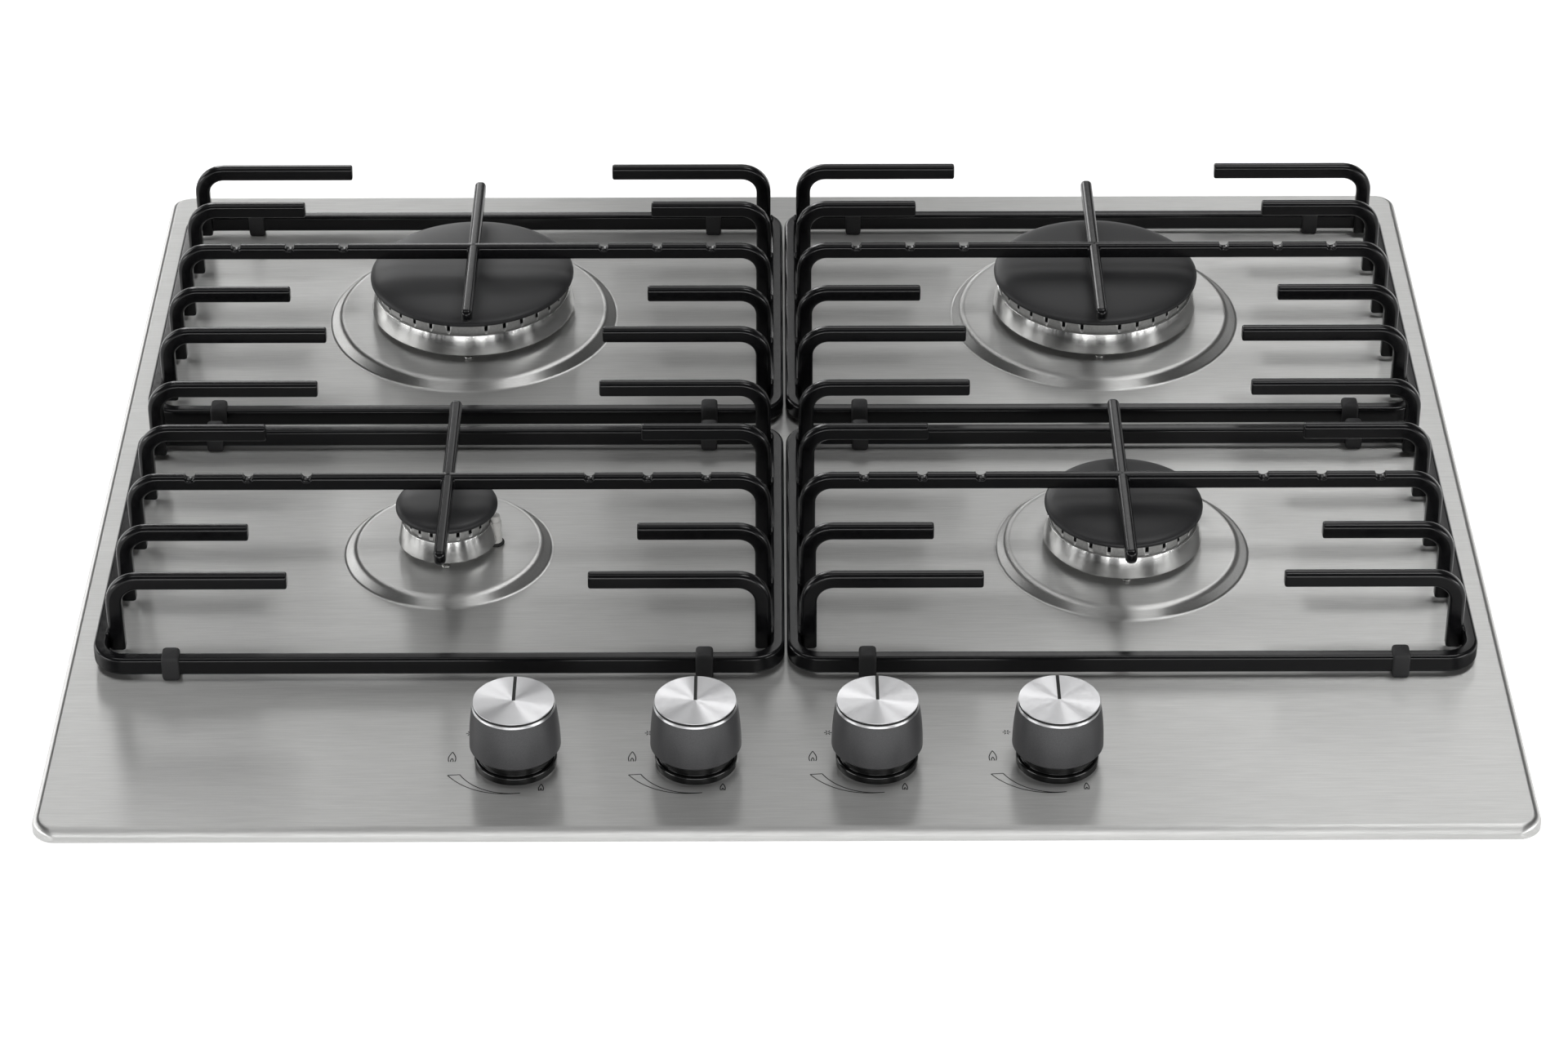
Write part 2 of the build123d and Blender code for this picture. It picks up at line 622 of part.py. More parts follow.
def tap_spring(x):
    """Wire spring between the plug and the spindle's collar."""
    low = PLUG_TOP + SPRING_WIRE * 0.6
    rise = COLLAR_BOTTOM - PLUG_TOP - SPRING_WIRE * 1.2
    steps = SPRING_SIDES * SPRING_TURNS
    points = [
        (
            SPRING_R * math.cos(2 * math.pi * step / SPRING_SIDES),
            SPRING_R * math.sin(2 * math.pi * step / SPRING_SIDES),
            low + rise * step / steps,
        )
        for step in range(steps + 1)
    ]
    return Pos(x, KNOB_Y, 0) * mitred_rod(Rectangle(SPRING_WIRE, SPRING_WIRE), points)


def switch_strip():
    """Ignition switch strip that lies over all four taps."""
    strip = box_between((-STRIP_X / 2, -STRIP_Y / 2, TAP_TOP), (STRIP_X / 2, STRIP_Y / 2, STRIP_TOP))
    for x in KNOB_XS.values():
        strip -= Pos(x, 0, 0) * many_sided(STRIP_HOLE_R, TAP_TOP - 1, STRIP_TOP + 1)
    return Pos(0, KNOB_Y, 0) * strip


# ---------- gas way and ignition ----------
def pipe_route(knob_x, burner):
    """Corner points of a supply pipe from its tap to its burner cup."""
    start = KNOB_Y + TAP_Y / 2
    end = burner.y - 6.0
    if burner.name.startswith("front"):
        leave, arrive = -155.0, -115.0
    else:
        leave, arrive = 0.0, 84.0
    return [
        (knob_x, start, PIPE_Z),
        (knob_x, leave, PIPE_Z),
        (burner.x, arrive, PIPE_Z),
        (burner.x, end, PIPE_Z),
    ]


def supply_pipe(knob_x, burner):
    """Aluminium pipe from a tap to a burner cup."""
    return mitred_rod(RegularPolygon(PIPE_R, PIPE_SIDES), pipe_route(knob_x, burner))


def pipe_nut(x, front):
    """Hexagonal union nut on a pipe end."""
    back = front + NUT_LENGTH
    nut = prism_along_y(6, NUT_WIDTH / math.sqrt(3), x, PIPE_Z, front, back)
    return nut - prism_along_y(PIPE_SIDES, PIPE_R + FIT, x, PIPE_Z, front - 1, back + 1)


def gas_rail():
    """Closed steel tube along the taps and up the right-hand side."""
    points = [
        (GAS_RAIL_LEFT, GAS_RAIL_Y, GAS_RAIL_Z),
        (GAS_RAIL_RIGHT, GAS_RAIL_Y, GAS_RAIL_Z),
        (GAS_RAIL_RIGHT, GAS_RAIL_BACK, GAS_RAIL_Z),
    ]
    path = FilletPolyline(*points, radius=GAS_RAIL_BEND_R)
    return sweep(Plane(origin=path @ 0, z_dir=path % 0) * RegularPolygon(GAS_RAIL_R, PIPE_SIDES), path)


def inlet_elbow():
    """Brass elbow that takes the rail's end and leaves through the tray's floor."""
    elbow = upright(THREAD_R, THREAD_BOTTOM, LOCKNUT_BOTTOM)
    elbow += many_sided(THREAD_R, LOCKNUT_BOTTOM, GAS_RAIL_Z + 7)
    elbow += prism_along_y(PIPE_SIDES, ELBOW_SOCKET_R, 0, GAS_RAIL_Z, -ELBOW_SOCKET, 0)
    elbow += many_sided(LOCKNUT_WIDTH / math.sqrt(3), LOCKNUT_BOTTOM, BOX_BOTTOM, 6)
    socket_end = GAS_RAIL_BACK - ELBOW_Y
    elbow -= prism_along_y(PIPE_SIDES, GAS_RAIL_R + FIT, 0, GAS_RAIL_Z, -ELBOW_SOCKET - 1, socket_end)
    elbow -= many_sided(ELBOW_BORE_R, THREAD_BOTTOM - 1, GAS_RAIL_Z + 3)
    return Pos(GAS_RAIL_RIGHT, ELBOW_Y, 0) * elbow


def mains_gland():
    """Gland in the tray's floor for the mains lead."""
    gland = many_sided(8.0, BOX_BOTTOM - 12, BOX_BOTTOM - 4)
    gland += many_sided(11.0, BOX_BOTTOM - 4, BOX_BOTTOM)
    gland += many_sided(GLAND_NECK_R, BOX_BOTTOM, BOX_BOTTOM + 4)
    return Pos(GLAND_X, GLAND_Y, 0) * (gland - upright(GLAND_BORE_R, BOX_BOTTOM - 13, BOX_BOTTOM + 5))


def ignition_module():
    """Spark generator on the tray's floor."""
    low = (-MODULE_X / 2, -MODULE_Y / 2, BOX_BOTTOM + SHEET)
    case = box_between(low, (MODULE_X / 2, MODULE_Y / 2, MODULE_TOP))
    return Pos(0, MODULE_CENTRE_Y, 0) * case


def ignition_lead(burner):
    """High-voltage lead from the spark generator, under the cup, up to the electrode."""
    x, y = electrode_place(burner)
    side = math.copysign(1, burner.x)
    start_x = side * MODULE_X / 2
    start_y = MODULE_CENTRE_Y + math.copysign(10, burner.y)
    run = math.hypot(x - start_x, y - start_y)
    back_x = x - (x - start_x) / run * LEAD_CORNER
    back_y = y - (y - start_y) / run * LEAD_CORNER
    points = [
        (start_x, start_y, LEAD_Z),
        (start_x + side * LEAD_CORNER, start_y, LEAD_Z),
        (back_x, back_y, LEAD_Z),
        (x, y, LEAD_Z + LEAD_CORNER),
        (x, y, ELECTRODE_BOTTOM),
    ]
    return mitred_rod(RegularPolygon(LEAD_R, 6), points)


def main():
    """Write every node of the hob."""
    os.makedirs("parts", exist_ok=True)
    save("top_plate", top_plate())
    save("rim_seal", rim_seal())
    save("burner_box", burner_box())
    clamps = [solid for x in (-CLAMP_X, CLAMP_X) for side in (-1, 1) for solid in worktop_clamp(x, side)]
    save("worktop_clamps", *clamps)

    for burner in BURNERS:
        save(f"burner_cup_{burner.name}", burner_cup(burner))
        save(f"burner_skirt_{burner.name}", burner_skirt(burner))
        save(f"burner_crown_{burner.name}", burner_crown(burner))
        save(f"burner_cap_{burner.name}", burner_cap(burner))
        centre_x = math.copysign(GRATE_X, burner.x)
        centre_y = GRATE_BACK_Y if burner.y > 0 else GRATE_FRONT_Y
        save(f"grate_{burner.name}", grate(centre_x, centre_y, burner.y))
        save(f"grate_feet_{burner.name}", *grate_feet(centre_x, centre_y))
    save("injectors", *[injector(burner) for burner in BURNERS])
    save("electrodes", *[electrode(burner) for burner in BURNERS])

    for name, x in KNOB_XS.items():
        save(f"knob_skirt_{name}", knob_skirt(x))
        save(f"knob_disc_{name}", knob_disc(x))
        save(f"spindle_{name}", spindle(x))
        save(f"tap_spring_{name}", tap_spring(x))
        save(f"tap_plug_{name}", tap_plug(x))
    knob_xs = list(KNOB_XS.values())
    save("knob_bezels", *[knob_bezel(x) for x in knob_xs])
    save("tap_bodies", *[tap_body(x) for x in knob_xs])
    save("switch_strip", switch_strip())

    by_name = {burner.name: burner for burner in BURNERS}
    served = ["front_left", "back_left", "back_right", "front_right"]
    pairs = [(x, by_name[name]) for x, name in zip(knob_xs, served)]
    save("supply_pipes", *[supply_pipe(x, burner) for x, burner in pairs])
    tap_nuts = [pipe_nut(x, KNOB_Y + TAP_Y / 2 + TAP_NOSE) for x in knob_xs]
    cup_nuts = [pipe_nut(burner.x, burner.y - HOLDER_SOCKET - NUT_LENGTH) for burner in BURNERS]
    save("pipe_nuts", *tap_nuts, *cup_nuts)
    save("gas_rail", gas_rail())
    save("inlet_elbow", inlet_elbow())
    save("mains_gland", mains_gland())
    save("ignition_module", ignition_module())
    save("ignition_leads", *[ignition_lead(burner) for burner in BURNERS])


main()
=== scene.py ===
import math
from collections import namedtuple

import bmesh
import bpy
from bpy.props import FloatProperty, FloatVectorProperty, PointerProperty
from mathutils import Euler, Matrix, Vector


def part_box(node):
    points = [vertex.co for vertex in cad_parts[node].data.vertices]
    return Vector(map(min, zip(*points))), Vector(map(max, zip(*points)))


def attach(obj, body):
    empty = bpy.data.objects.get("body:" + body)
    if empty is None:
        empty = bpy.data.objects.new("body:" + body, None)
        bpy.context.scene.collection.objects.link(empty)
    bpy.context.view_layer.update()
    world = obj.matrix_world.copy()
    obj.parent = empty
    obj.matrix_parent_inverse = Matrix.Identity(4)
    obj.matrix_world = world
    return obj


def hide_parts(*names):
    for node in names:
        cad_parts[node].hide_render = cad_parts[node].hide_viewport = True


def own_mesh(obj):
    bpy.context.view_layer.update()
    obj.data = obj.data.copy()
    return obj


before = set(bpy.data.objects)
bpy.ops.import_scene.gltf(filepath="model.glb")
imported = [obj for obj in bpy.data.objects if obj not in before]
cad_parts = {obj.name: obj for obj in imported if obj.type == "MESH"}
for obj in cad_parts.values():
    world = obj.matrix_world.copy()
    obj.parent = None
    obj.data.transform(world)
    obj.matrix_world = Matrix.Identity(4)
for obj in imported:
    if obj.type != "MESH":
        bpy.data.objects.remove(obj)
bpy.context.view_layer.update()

bl_info = {
    "name": "Gas hob",
    "version": (1, 0, 0),
    "blender": (4, 5, 0),
    "location": "View3D > Sidebar > Gas hob",
    "description": "Dresses a built-in gas hob with four burners, pan supports and knobs",
    "category": "Object",
}

# Lengths in metres, in the frame's own axes: +X right, +Y back, +Z up, worktop at height 0.
MM = 0.001
BURNERS = ("back_left", "back_right", "front_left", "front_right")
KNOBS = ("left", "centre_left", "centre_right", "right")
HOB = "hob"


# ---------- what the frame says ----------
def corners(node):
    """Lowest and highest corner of a node at rest."""
    low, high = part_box(node)
    return Vector(low), Vector(high)


def middle(node):
    """Middle of a node's box at rest."""
    low, high = corners(node)
    return (low + high) / 2


def axis_of(node):
    """Upright axis through the middle of a node, as a point at height 0."""
    place = middle(node)
    return Vector((place.x, place.y, 0))


PLATE_LOW, PLATE_HIGH = corners("top_plate")
PLATE_TOP = 6 * MM
SEAT_TOP = PLATE_HIGH.z


# ---------- sizes and colours ----------
def length(name, description, default):
    """A size in metres that a user may change."""
    return FloatProperty(name=name, description=description, default=default, min=0, precision=5, unit="LENGTH")


def share(name, description, default):
    """A number between nought and one that a user may change."""
    return FloatProperty(name=name, description=description, default=default, min=0, max=1, subtype="FACTOR")


def colour(name, description, default):
    """A colour that a user may change."""
    return FloatVectorProperty(
        name=name, description=description, default=default, size=3, min=0, max=1, subtype="COLOR"
    )


class HobPlateSettings(bpy.types.PropertyGroup):
    """Sizes and colours of the pressed plate and its prints."""

    edge_r: length("Edge rounding", "Outer radius of the folded edge", 3.4 * MM)
    corner_r: length("Corner radius", "Radius of the plate's corners seen from above", 10.0 * MM)
    sheet: length("Sheet", "Thickness of the sheet", 1.0 * MM)
    seat_foot_r: length("Seat foot bend", "Radius of the bend at the foot of a burner seat", 2.6 * MM)
    seat_top_r: length("Seat top bend", "Radius of the bend at the top of a burner seat", 5.0 * MM)
    print_line: length("Print line", "Width of the printed lines", 0.42 * MM)
    print_rise: length("Print height", "Height of the printed ink", 0.04 * MM)
    steel: colour("Steel", "Colour of the brushed plate", (0.62, 0.62, 0.61))
    ink: colour("Ink", "Colour of the printed symbols", (0.004, 0.004, 0.004))


class HobBurnerSettings(bpy.types.PropertyGroup):
    """Sizes and colours of the burners."""

    ring_sheet: length("Ring sheet", "Thickness of the polished ring", 0.8 * MM)
    cap_edge: length("Cap edge", "Height of the cap's widest line over its seat", 0.9 * MM)
    slot_width: length("Slot width", "Width of a flame slot", 1.5 * MM)
    slot_height: length("Slot height", "Height of a flame slot", 4.1 * MM)
    screw_r: length("Screw head", "Radius of a screw head", 1.9 * MM)
    ring: colour("Ring", "Colour of the polished ring", (0.82, 0.82, 0.81))
    crown: colour("Crown", "Colour of the cast crown", (0.52, 0.52, 0.51))
    cap: colour("Cap", "Colour of the cap's enamel", (0.016, 0.016, 0.017))
    ceramic: colour("Ceramic", "Colour of the electrode", (0.80, 0.79, 0.76))


class HobSupportSettings(bpy.types.PropertyGroup):
    """Sizes and colours of the pan supports."""

    bar_width: length("Bar width", "Width of a bar", 5.2 * MM)
    bar_height: length("Bar height", "Height of a bar", 6.8 * MM)
    bar_round: length("Bar rounding", "Rounding of a bar's long edges", 1.9 * MM)
    bend_r: length("Bend", "Outer radius of a finger's bend", 14.0 * MM)
    rail_width: length("Rail width", "Width of the lower rail", 5.8 * MM)
    rail_round: length("Rail rounding", "Rounding of the rail's long edges", 1.5 * MM)
    notch_r: length("Notch", "Radius of a notch in the long bar", 2.2 * MM)
    enamel: colour("Enamel", "Colour of the enamelled steel", (0.0055, 0.0055, 0.0062))
    rubber: colour("Rubber", "Colour of the feet", (0.020, 0.020, 0.021))


class HobKnobSettings(bpy.types.PropertyGroup):
    """Sizes and colours of the knobs."""

    bulge: length("Bulge", "How far the skirt swells between its ends", 0.35 * MM)
    pointer_width: length("Pointer width", "Width of the pointer line", 1.35 * MM)
    # the groove's black is a separate ring of painted shade
    groove: length("Groove", "Width of the black groove on the disc", 0.45 * MM)
    skirt: colour("Skirt", "Colour of the knob's body", (0.085, 0.085, 0.088))
    disc: colour("Disc", "Colour of the turned disc", (0.72, 0.72, 0.73))
    base: colour("Base ring", "Colour of the ring under the knob", (0.004, 0.004, 0.004))


class HobStageSettings(bpy.types.PropertyGroup):
    """Camera, floor and light."""

    lens: FloatProperty(name="Lens", description="Focal length in millimetres", default=100.5, min=1)
    camera_place: FloatVectorProperty(
        name="Camera", description="Where the camera stands", default=(-0.0048, -1.6272, 1.0672), subtype="TRANSLATION"
    )
    camera_turn: FloatVectorProperty(
        name="Camera turn",
        description="How the camera is turned",
        default=(math.radians(56.30), math.radians(0.042), math.radians(-0.184)),
        subtype="EULER",
    )
    floor: colour("Floor", "Colour of the floor", (0.80, 0.80, 0.80))
    floor_glow: share("Floor glow", "How much the floor's white is raised where it is seen", 0.65)
    sky: share("Sky", "Grey level of the light from all round", 0.07)


# ---------- meshes ----------
def rounded_line(points, closed=True, steps=6):
    """Line through (a, b, radius) corners with each corner rounded by an arc of its radius."""
    line = []
    last = len(points) - 1
    for index, (a, b, radius) in enumerate(points):
        here = Vector((a, b))
        if radius <= 0 or (not closed and index in (0, last)):
            line.append(here)
            continue
        before = (Vector(points[index - 1][:2]) - here).normalized()
        after = (Vector(points[(index + 1) % len(points)][:2]) - here).normalized()
        half = before.angle(after) / 2
        centre = here + (before + after).normalized() * (radius / math.sin(half))
        start = here + before * (radius / math.tan(half)) - centre
        end = here + after * (radius / math.tan(half)) - centre
        first = math.atan2(start.y, start.x)
        turn = (math.atan2(end.y, end.x) - first + math.pi) % (2 * math.pi) - math.pi
        for step in range(steps + 1):
            angle = first + turn * step / steps
            line.append(centre + radius * Vector((math.cos(angle), math.sin(angle))))
    return line


def skin(bm, rings, closed_path=False, capped=False):
    """Faces through a row of vertex rings of one count, with U round the ring and V along the row."""
    uv = bm.loops.layers.uv.verify()
    steps = len(rings) if closed_path else len(rings) - 1
    travelled = 0.0
    for index in range(steps):
        near, far = rings[index], rings[(index + 1) % len(rings)]
        onward = travelled + (near[0].co - far[0].co).length
        count = max(len(near), len(far))
        for side in range(count):
            after = (side + 1) % count
            if len(near) == 1 and len(far) == 1:
                continue
            if len(near) == 1:
                verts, marks = [near[0], far[after], far[side]], [(side + 0.5, 0), (side + 1, 1), (side, 1)]
            elif len(far) == 1:
                verts, marks = [near[side], near[after], far[0]], [(side, 0), (side + 1, 0), (side + 0.5, 1)]
            else:
                verts = [near[side], near[after], far[after], far[side]]
                marks = [(side, 0), (side + 1, 0), (side + 1, 1), (side, 1)]
            face = bm.faces.new(verts)
            for loop, (around, along) in zip(face.loops, marks):
                loop[uv].uv = (around / count, onward if along else travelled)
        travelled = onward
    if capped:
        for ring in (rings[0], rings[-1]):
            if len(ring) > 2:
                bm.faces.new(ring)


def turned(bm, line, axis, sides):
    """Solid turned about an upright axis from a line of (radius, height) points."""
    rings = []
    for radius, height in line:
        if radius < 1e-7:
            rings.append([bm.verts.new((axis.x, axis.y, height))])
            continue
        angles = [2 * math.pi * side / sides for side in range(sides)]
        rings.append([
            bm.verts.new((axis.x + radius * math.cos(a), axis.y + radius * math.sin(a), height)) for a in angles
        ])
    on_axis = len(rings[0]) == 1 and len(rings[-1]) == 1
    skin(bm, rings, closed_path=not on_axis)


def turned_piece(name, line, axis, sides=96, sharp_angle=35.0):
    """Object turned about an upright axis from a line of (radius, height) points."""
    bm = bmesh.new()
    turned(bm, line, axis, sides)
    return mesh_object(bm, name, sharp_angle)


def section(width, height, radius, lower_radius=None, steps=4):
    """Rounded rectangle of a bar, as (sideways, upward) points about its middle."""
    below = radius if lower_radius is None else lower_radius
    half, up = width / 2, height / 2
    return rounded_line(
        [(half, -up, below), (half, up, radius), (-half, up, radius), (-half, -up, below)], steps=steps
    )


def bar(bm, stations, outline, side, blunt=0.0, dips=None):
    """Bar through stations of (point, up), whose outline lies across it, with blunted ends."""
    width = max(point.x for point in outline)
    height = max(point.y for point in outline)
    placed = [(point, up, 0.0) for point, up in stations]
    if blunt:
        for end, inner in ((0, 1), (-1, -2)):
            point, up, _ = placed[end]
            along = (point - placed[inner][0]).normalized()
            extra = []
            for step in range(4):
                angle = math.radians(90 * step / 3)
                extra.append((point - along * blunt * (1 - math.sin(angle)), up, blunt * (1 - math.cos(angle))))
            if end == 0:
                placed[:1] = reversed(extra)
            else:
                placed[-1:] = extra
    rings = []
    for point, up, inset in placed:
        ring = []
        for a, b in outline:
            across = a * (width - inset) / width
            rise = b * (height - inset) / height
            if dips and b > 0:
                rise -= dips(point, b / height)
            ring.append(bm.verts.new(point + side * across + up * rise))
        rings.append(ring)
    skin(bm, rings, capped=True)


def inked_line(bm, points, width, height, rise):
    """Printed line of even width along flat points, as a thin closed solid."""
    rings = []
    for index, point in enumerate(points):
        ahead = points[min(index + 1, len(points) - 1)]
        behind = points[max(index - 1, 0)]
        along = (ahead - behind).normalized()
        side = Vector((-along.y, along.x)) * width / 2
        left, right = point + side, point - side
        corner_points = ((left, height), (right, height), (right, height + rise), (left, height + rise))
        rings.append([bm.verts.new((flat.x, flat.y, level)) for flat, level in corner_points])
    skin(bm, rings, capped=True)


def ring_of(bm, points, height):
    """Vertices at one height through flat points."""
    return [bm.verts.new((point[0], point[1], height)) for point in points]


def rounded_rectangle(half_x, half_y, radius, steps=10):
    """Flat rounded rectangle about the origin."""
    return rounded_line(
        [(half_x, -half_y, radius), (half_x, half_y, radius), (-half_x, half_y, radius), (-half_x, -half_y, radius)],
        steps=steps,
    )


def circle(centre, radius, sides):
    """Flat circle of points about a centre."""
    angles = [2 * math.pi * side / sides for side in range(sides)]
    return [Vector((centre[0] + radius * math.cos(a), centre[1] + radius * math.sin(a))) for a in angles]


def edge_loop(bm, ring):
    """Edges round a ring of vertices, made where they are missing."""
    edges = []
    for index, vert in enumerate(ring):
        after = ring[(index + 1) % len(ring)]
        edges.append(bm.edges.get((vert, after)) or bm.edges.new((vert, after)))
    return edges


def fill_between(bm, rings):
    """Flat face between an outer ring and the holes in it."""
    edges = [edge for ring in rings for edge in edge_loop(bm, ring)]
    bmesh.ops.triangle_fill(bm, edges=edges, use_beauty=True, normal=(0, 0, 1))


def flat_uv(bm):
    """UV map that follows X and Y, so that a brushed finish runs along X."""
    uv = bm.loops.layers.uv.verify()
    for face in bm.faces:
        for loop in face.loops:
            loop[uv].uv = (loop.vert.co.x, loop.vert.co.y)


def show(thing):
    """Put a new object into the scene."""
    bpy.context.scene.collection.objects.link(thing)


def mesh_object(bm, name, sharp_angle=35.0, outward=True):
    """Object from a finished bmesh, smooth but for its sharp edges."""
    if outward:
        bmesh.ops.recalc_face_normals(bm, faces=bm.faces)
    mesh = bpy.data.meshes.new(name)
    bm.to_mesh(mesh)
    bm.free()
    mesh.shade_smooth()
    mesh.set_sharp_from_angle(angle=math.radians(sharp_angle))
    piece = bpy.data.objects.new(name, mesh)
    show(piece)
    return piece


def settle(piece, flat_first=True):
    """Turn a piece's modifiers into plain mesh, with flat faces leading the shading."""
    if flat_first:
        weigh = piece.modifiers.new("flat_first", "WEIGHTED_NORMAL")
        weigh.keep_sharp = True
    graph = bpy.context.evaluated_depsgraph_get()
    mesh = bpy.data.meshes.new_from_object(piece.evaluated_get(graph), preserve_all_data_layers=True, depsgraph=graph)
    mesh.name = piece.name
    piece.modifiers.clear()
    piece.data = mesh


def place(piece, body, material, slot=None, nodes=()):
    """Give a piece its material, the body it rides on and the nodes it stands for; the slot argument is not used."""
    piece.data.materials.clear()
    piece.data.materials.append(material)
    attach(piece, body)
    if nodes:
        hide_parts(*nodes)


# ---------- materials ----------
EVEN = (1, 1, 1)


def add(tree, kind, values=None, **settings):
    """New shader node with its settings and socket values."""
    made = tree.nodes.new(kind)
    for key, value in settings.items():
        setattr(made, key, value)
    for key, value in (values or {}).items():
        made.inputs[key].default_value = value
    return made


def new_finish(name, base, metallic, roughness, **sockets):
    """Material with one surface shader and nothing linked to it yet."""
    made = bpy.data.materials.new(name)
    made.use_nodes = True
    tree = made.node_tree
    shader = tree.nodes["Principled BSDF"]
    shader.inputs["Base Color"].default_value = (*base, 1)
    shader.inputs["Metallic"].default_value = metallic
    shader.inputs["Roughness"].default_value = roughness
    for socket, value in sockets.items():
        shader.inputs[socket.replace("_", " ")].default_value = value
    return made, tree, shader


def grain(tree, scale, stretch, detail):
    """Noise between nought and one on the piece's own coordinates."""
    where = add(tree, "ShaderNodeTexCoord")
    shape = add(tree, "ShaderNodeMapping", {"Scale": stretch})
    noise = add(tree, "ShaderNodeTexNoise", {"Scale": scale, "Detail": detail, "Roughness": 0.6})
    tree.links.new(where.outputs["Object"], shape.inputs["Vector"])
    tree.links.new(shape.outputs["Vector"], noise.inputs["Vector"])
    return noise.outputs["Fac"]


def tint(tree, shader, level, dark, light, low=0.3, high=0.7):
    """Base colour that runs between two tones with a level."""
    ramp = add(tree, "ShaderNodeValToRGB")
    ramp.color_ramp.elements[0].position = low
    ramp.color_ramp.elements[0].color = (*dark, 1)
    ramp.color_ramp.elements[1].position = high
    ramp.color_ramp.elements[1].color = (*light, 1)
    tree.links.new(level, ramp.inputs["Fac"])
    tree.links.new(ramp.outputs["Color"], shader.inputs["Base Color"])


def gloss(tree, shader, level, low, high):
    """Roughness that runs between two values with a level."""
    spread = add(tree, "ShaderNodeMapRange", {"From Min": 0.3, "From Max": 0.7, "To Min": low, "To Max": high})
    tree.links.new(level, spread.inputs["Value"])
    tree.links.new(spread.outputs["Result"], shader.inputs["Roughness"])


def relief(tree, shader, level, strength, depth):
    """Fine bumps from a level."""
    bump = add(tree, "ShaderNodeBump", {"Strength": strength, "Distance": depth})
    tree.links.new(level, bump.inputs["Height"])
    tree.links.new(bump.outputs["Normal"], shader.inputs["Normal"])


def run_along_uv(tree, shader):
    """Highlights drawn out across fine lines that run along U of the piece's own UV map."""
    tangent = add(tree, "ShaderNodeTangent", direction_type="UV_MAP")
    tree.links.new(tangent.outputs["Tangent"], shader.inputs["Tangent"])
    shader.inputs["Anisotropic Rotation"].default_value = 0.25


def shade_of(base, factor):
    """A colour made lighter or darker."""
    return tuple(min(1.0, channel * factor) for channel in base)


def grained(name, base, metallic, roughness, noise, spread, shades=None, bumps=None, brushed=False, **sockets):
    """Surface whose roughness, tone and relief all follow one noise of (scale, stretch, detail)."""
    made, tree, shader = new_finish(name, base, metallic, roughness, **sockets)
    level = grain(tree, *noise)
    if shades:
        tint(tree, shader, level, shade_of(base, shades[0]), shade_of(base, shades[1]))
    gloss(tree, shader, level, *spread)
    if bumps:
        relief(tree, shader, level, *bumps)
    if brushed:
        run_along_uv(tree, shader)
    return made


def brushed_stainless(base):
    """Sheet steel brushed along X."""
    made, tree, shader = new_finish("brushed_stainless", base, 1.0, 0.4, Anisotropic=0.95)
    fine = grain(tree, 60, (0.6, 50, 50), 3)
    broad = grain(tree, 60, (1, 26, 26), 3)
    tint(tree, shader, broad, shade_of(base, 0.94), shade_of(base, 1.06))
    gloss(tree, shader, fine, 0.36, 0.46)
    relief(tree, shader, fine, 0.12, 0.00006)
    run_along_uv(tree, shader)
    return made


def polished_ring(base):
    """Turned steel ring, polished, with faint fine lines round it."""
    noise = (12, (1, 1, 40), 2)
    return grained(
        "polished_ring_steel", base, 1.0, 0.18, noise, (0.16, 0.20), (0.975, 1.015), brushed=True, Anisotropic=0.85
    )


def cast_alloy(name, base, strength):
    """Cast aluminium with a sand-cast skin."""
    return grained(name, base, 0.85, 0.5, (1400, EVEN, 5), (0.42, 0.60), (0.80, 1.12), (strength, 0.0002))


def gloss_enamel(base):
    """Deep black enamel on bent steel, with its slight ripple."""
    noise, spread, shades, bumps = (420, EVEN, 2), (0.17, 0.24), (0.8, 1.3), (0.05, 0.0002)
    return grained("gloss_black_enamel", base, 0.0, 0.2, noise, spread, shades, bumps, Specular_IOR_Level=0.32)


def matt_enamel(base):
    """Matt black enamel of the caps, with a fine speckle."""
    noise, spread, shades, bumps = (2600, EVEN, 3), (0.40, 0.56), (0.75, 1.9), (0.12, 0.0001)
    return grained("matt_black_enamel", base, 0.0, 0.48, noise, spread, shades, bumps, Specular_IOR_Level=0.45)


def moulded(name, base, low, high, scale=1800, strength=0.08):
    """Moulded plastic or rubber with an even fine grain."""
    return grained(name, base, 0.0, high, (scale, EVEN, 3), (low, high), (0.85, 1.2), (strength, 0.0001))


def spun_disc(base):
    """Aluminium face turned on a lathe."""
    return grained("spun_aluminium", base, 1.0, 0.34, (500, EVEN, 2), (0.31, 0.37), brushed=True, Anisotropic=0.95)


def worked_metal(name, base, low, high):
    """Plain metal with the slight cloudiness of handling and plating."""
    return grained(name, base, 1.0, high, (260, EVEN, 5), (low, high), (0.82, 1.08), (0.05, 0.0001))


def porcelain(base):
    """Unglazed white ceramic."""
    return grained("white_ceramic", base, 0.0, 0.35, (900, EVEN, 4), (0.28, 0.42), (0.93, 1.03))


def satin_paint(base):
    """Satin grey paint with a metallic shimmer."""
    return grained("satin_grey_knob", base, 0.35, 0.42, (2200, EVEN, 3), (0.36, 0.46), (0.85, 1.15))


def zinc_sheet():
    """Galvanised sheet with its spangle."""
    base = (0.50, 0.52, 0.54)
    made, tree, shader = new_finish("galvanised_sheet", base, 1.0, 0.4)
    where = add(tree, "ShaderNodeTexCoord")
    spangle = add(tree, "ShaderNodeTexVoronoi", {"Scale": 120.0})
    tree.links.new(where.outputs["Object"], spangle.inputs["Vector"])
    split = add(tree, "ShaderNodeSeparateColor")
    tree.links.new(spangle.outputs["Color"], split.inputs["Color"])
    tint(tree, shader, split.outputs["Red"], shade_of(base, 0.84), shade_of(base, 1.1), 0.0, 1.0)
    gloss(tree, shader, split.outputs["Green"], 0.32, 0.48)
    return made


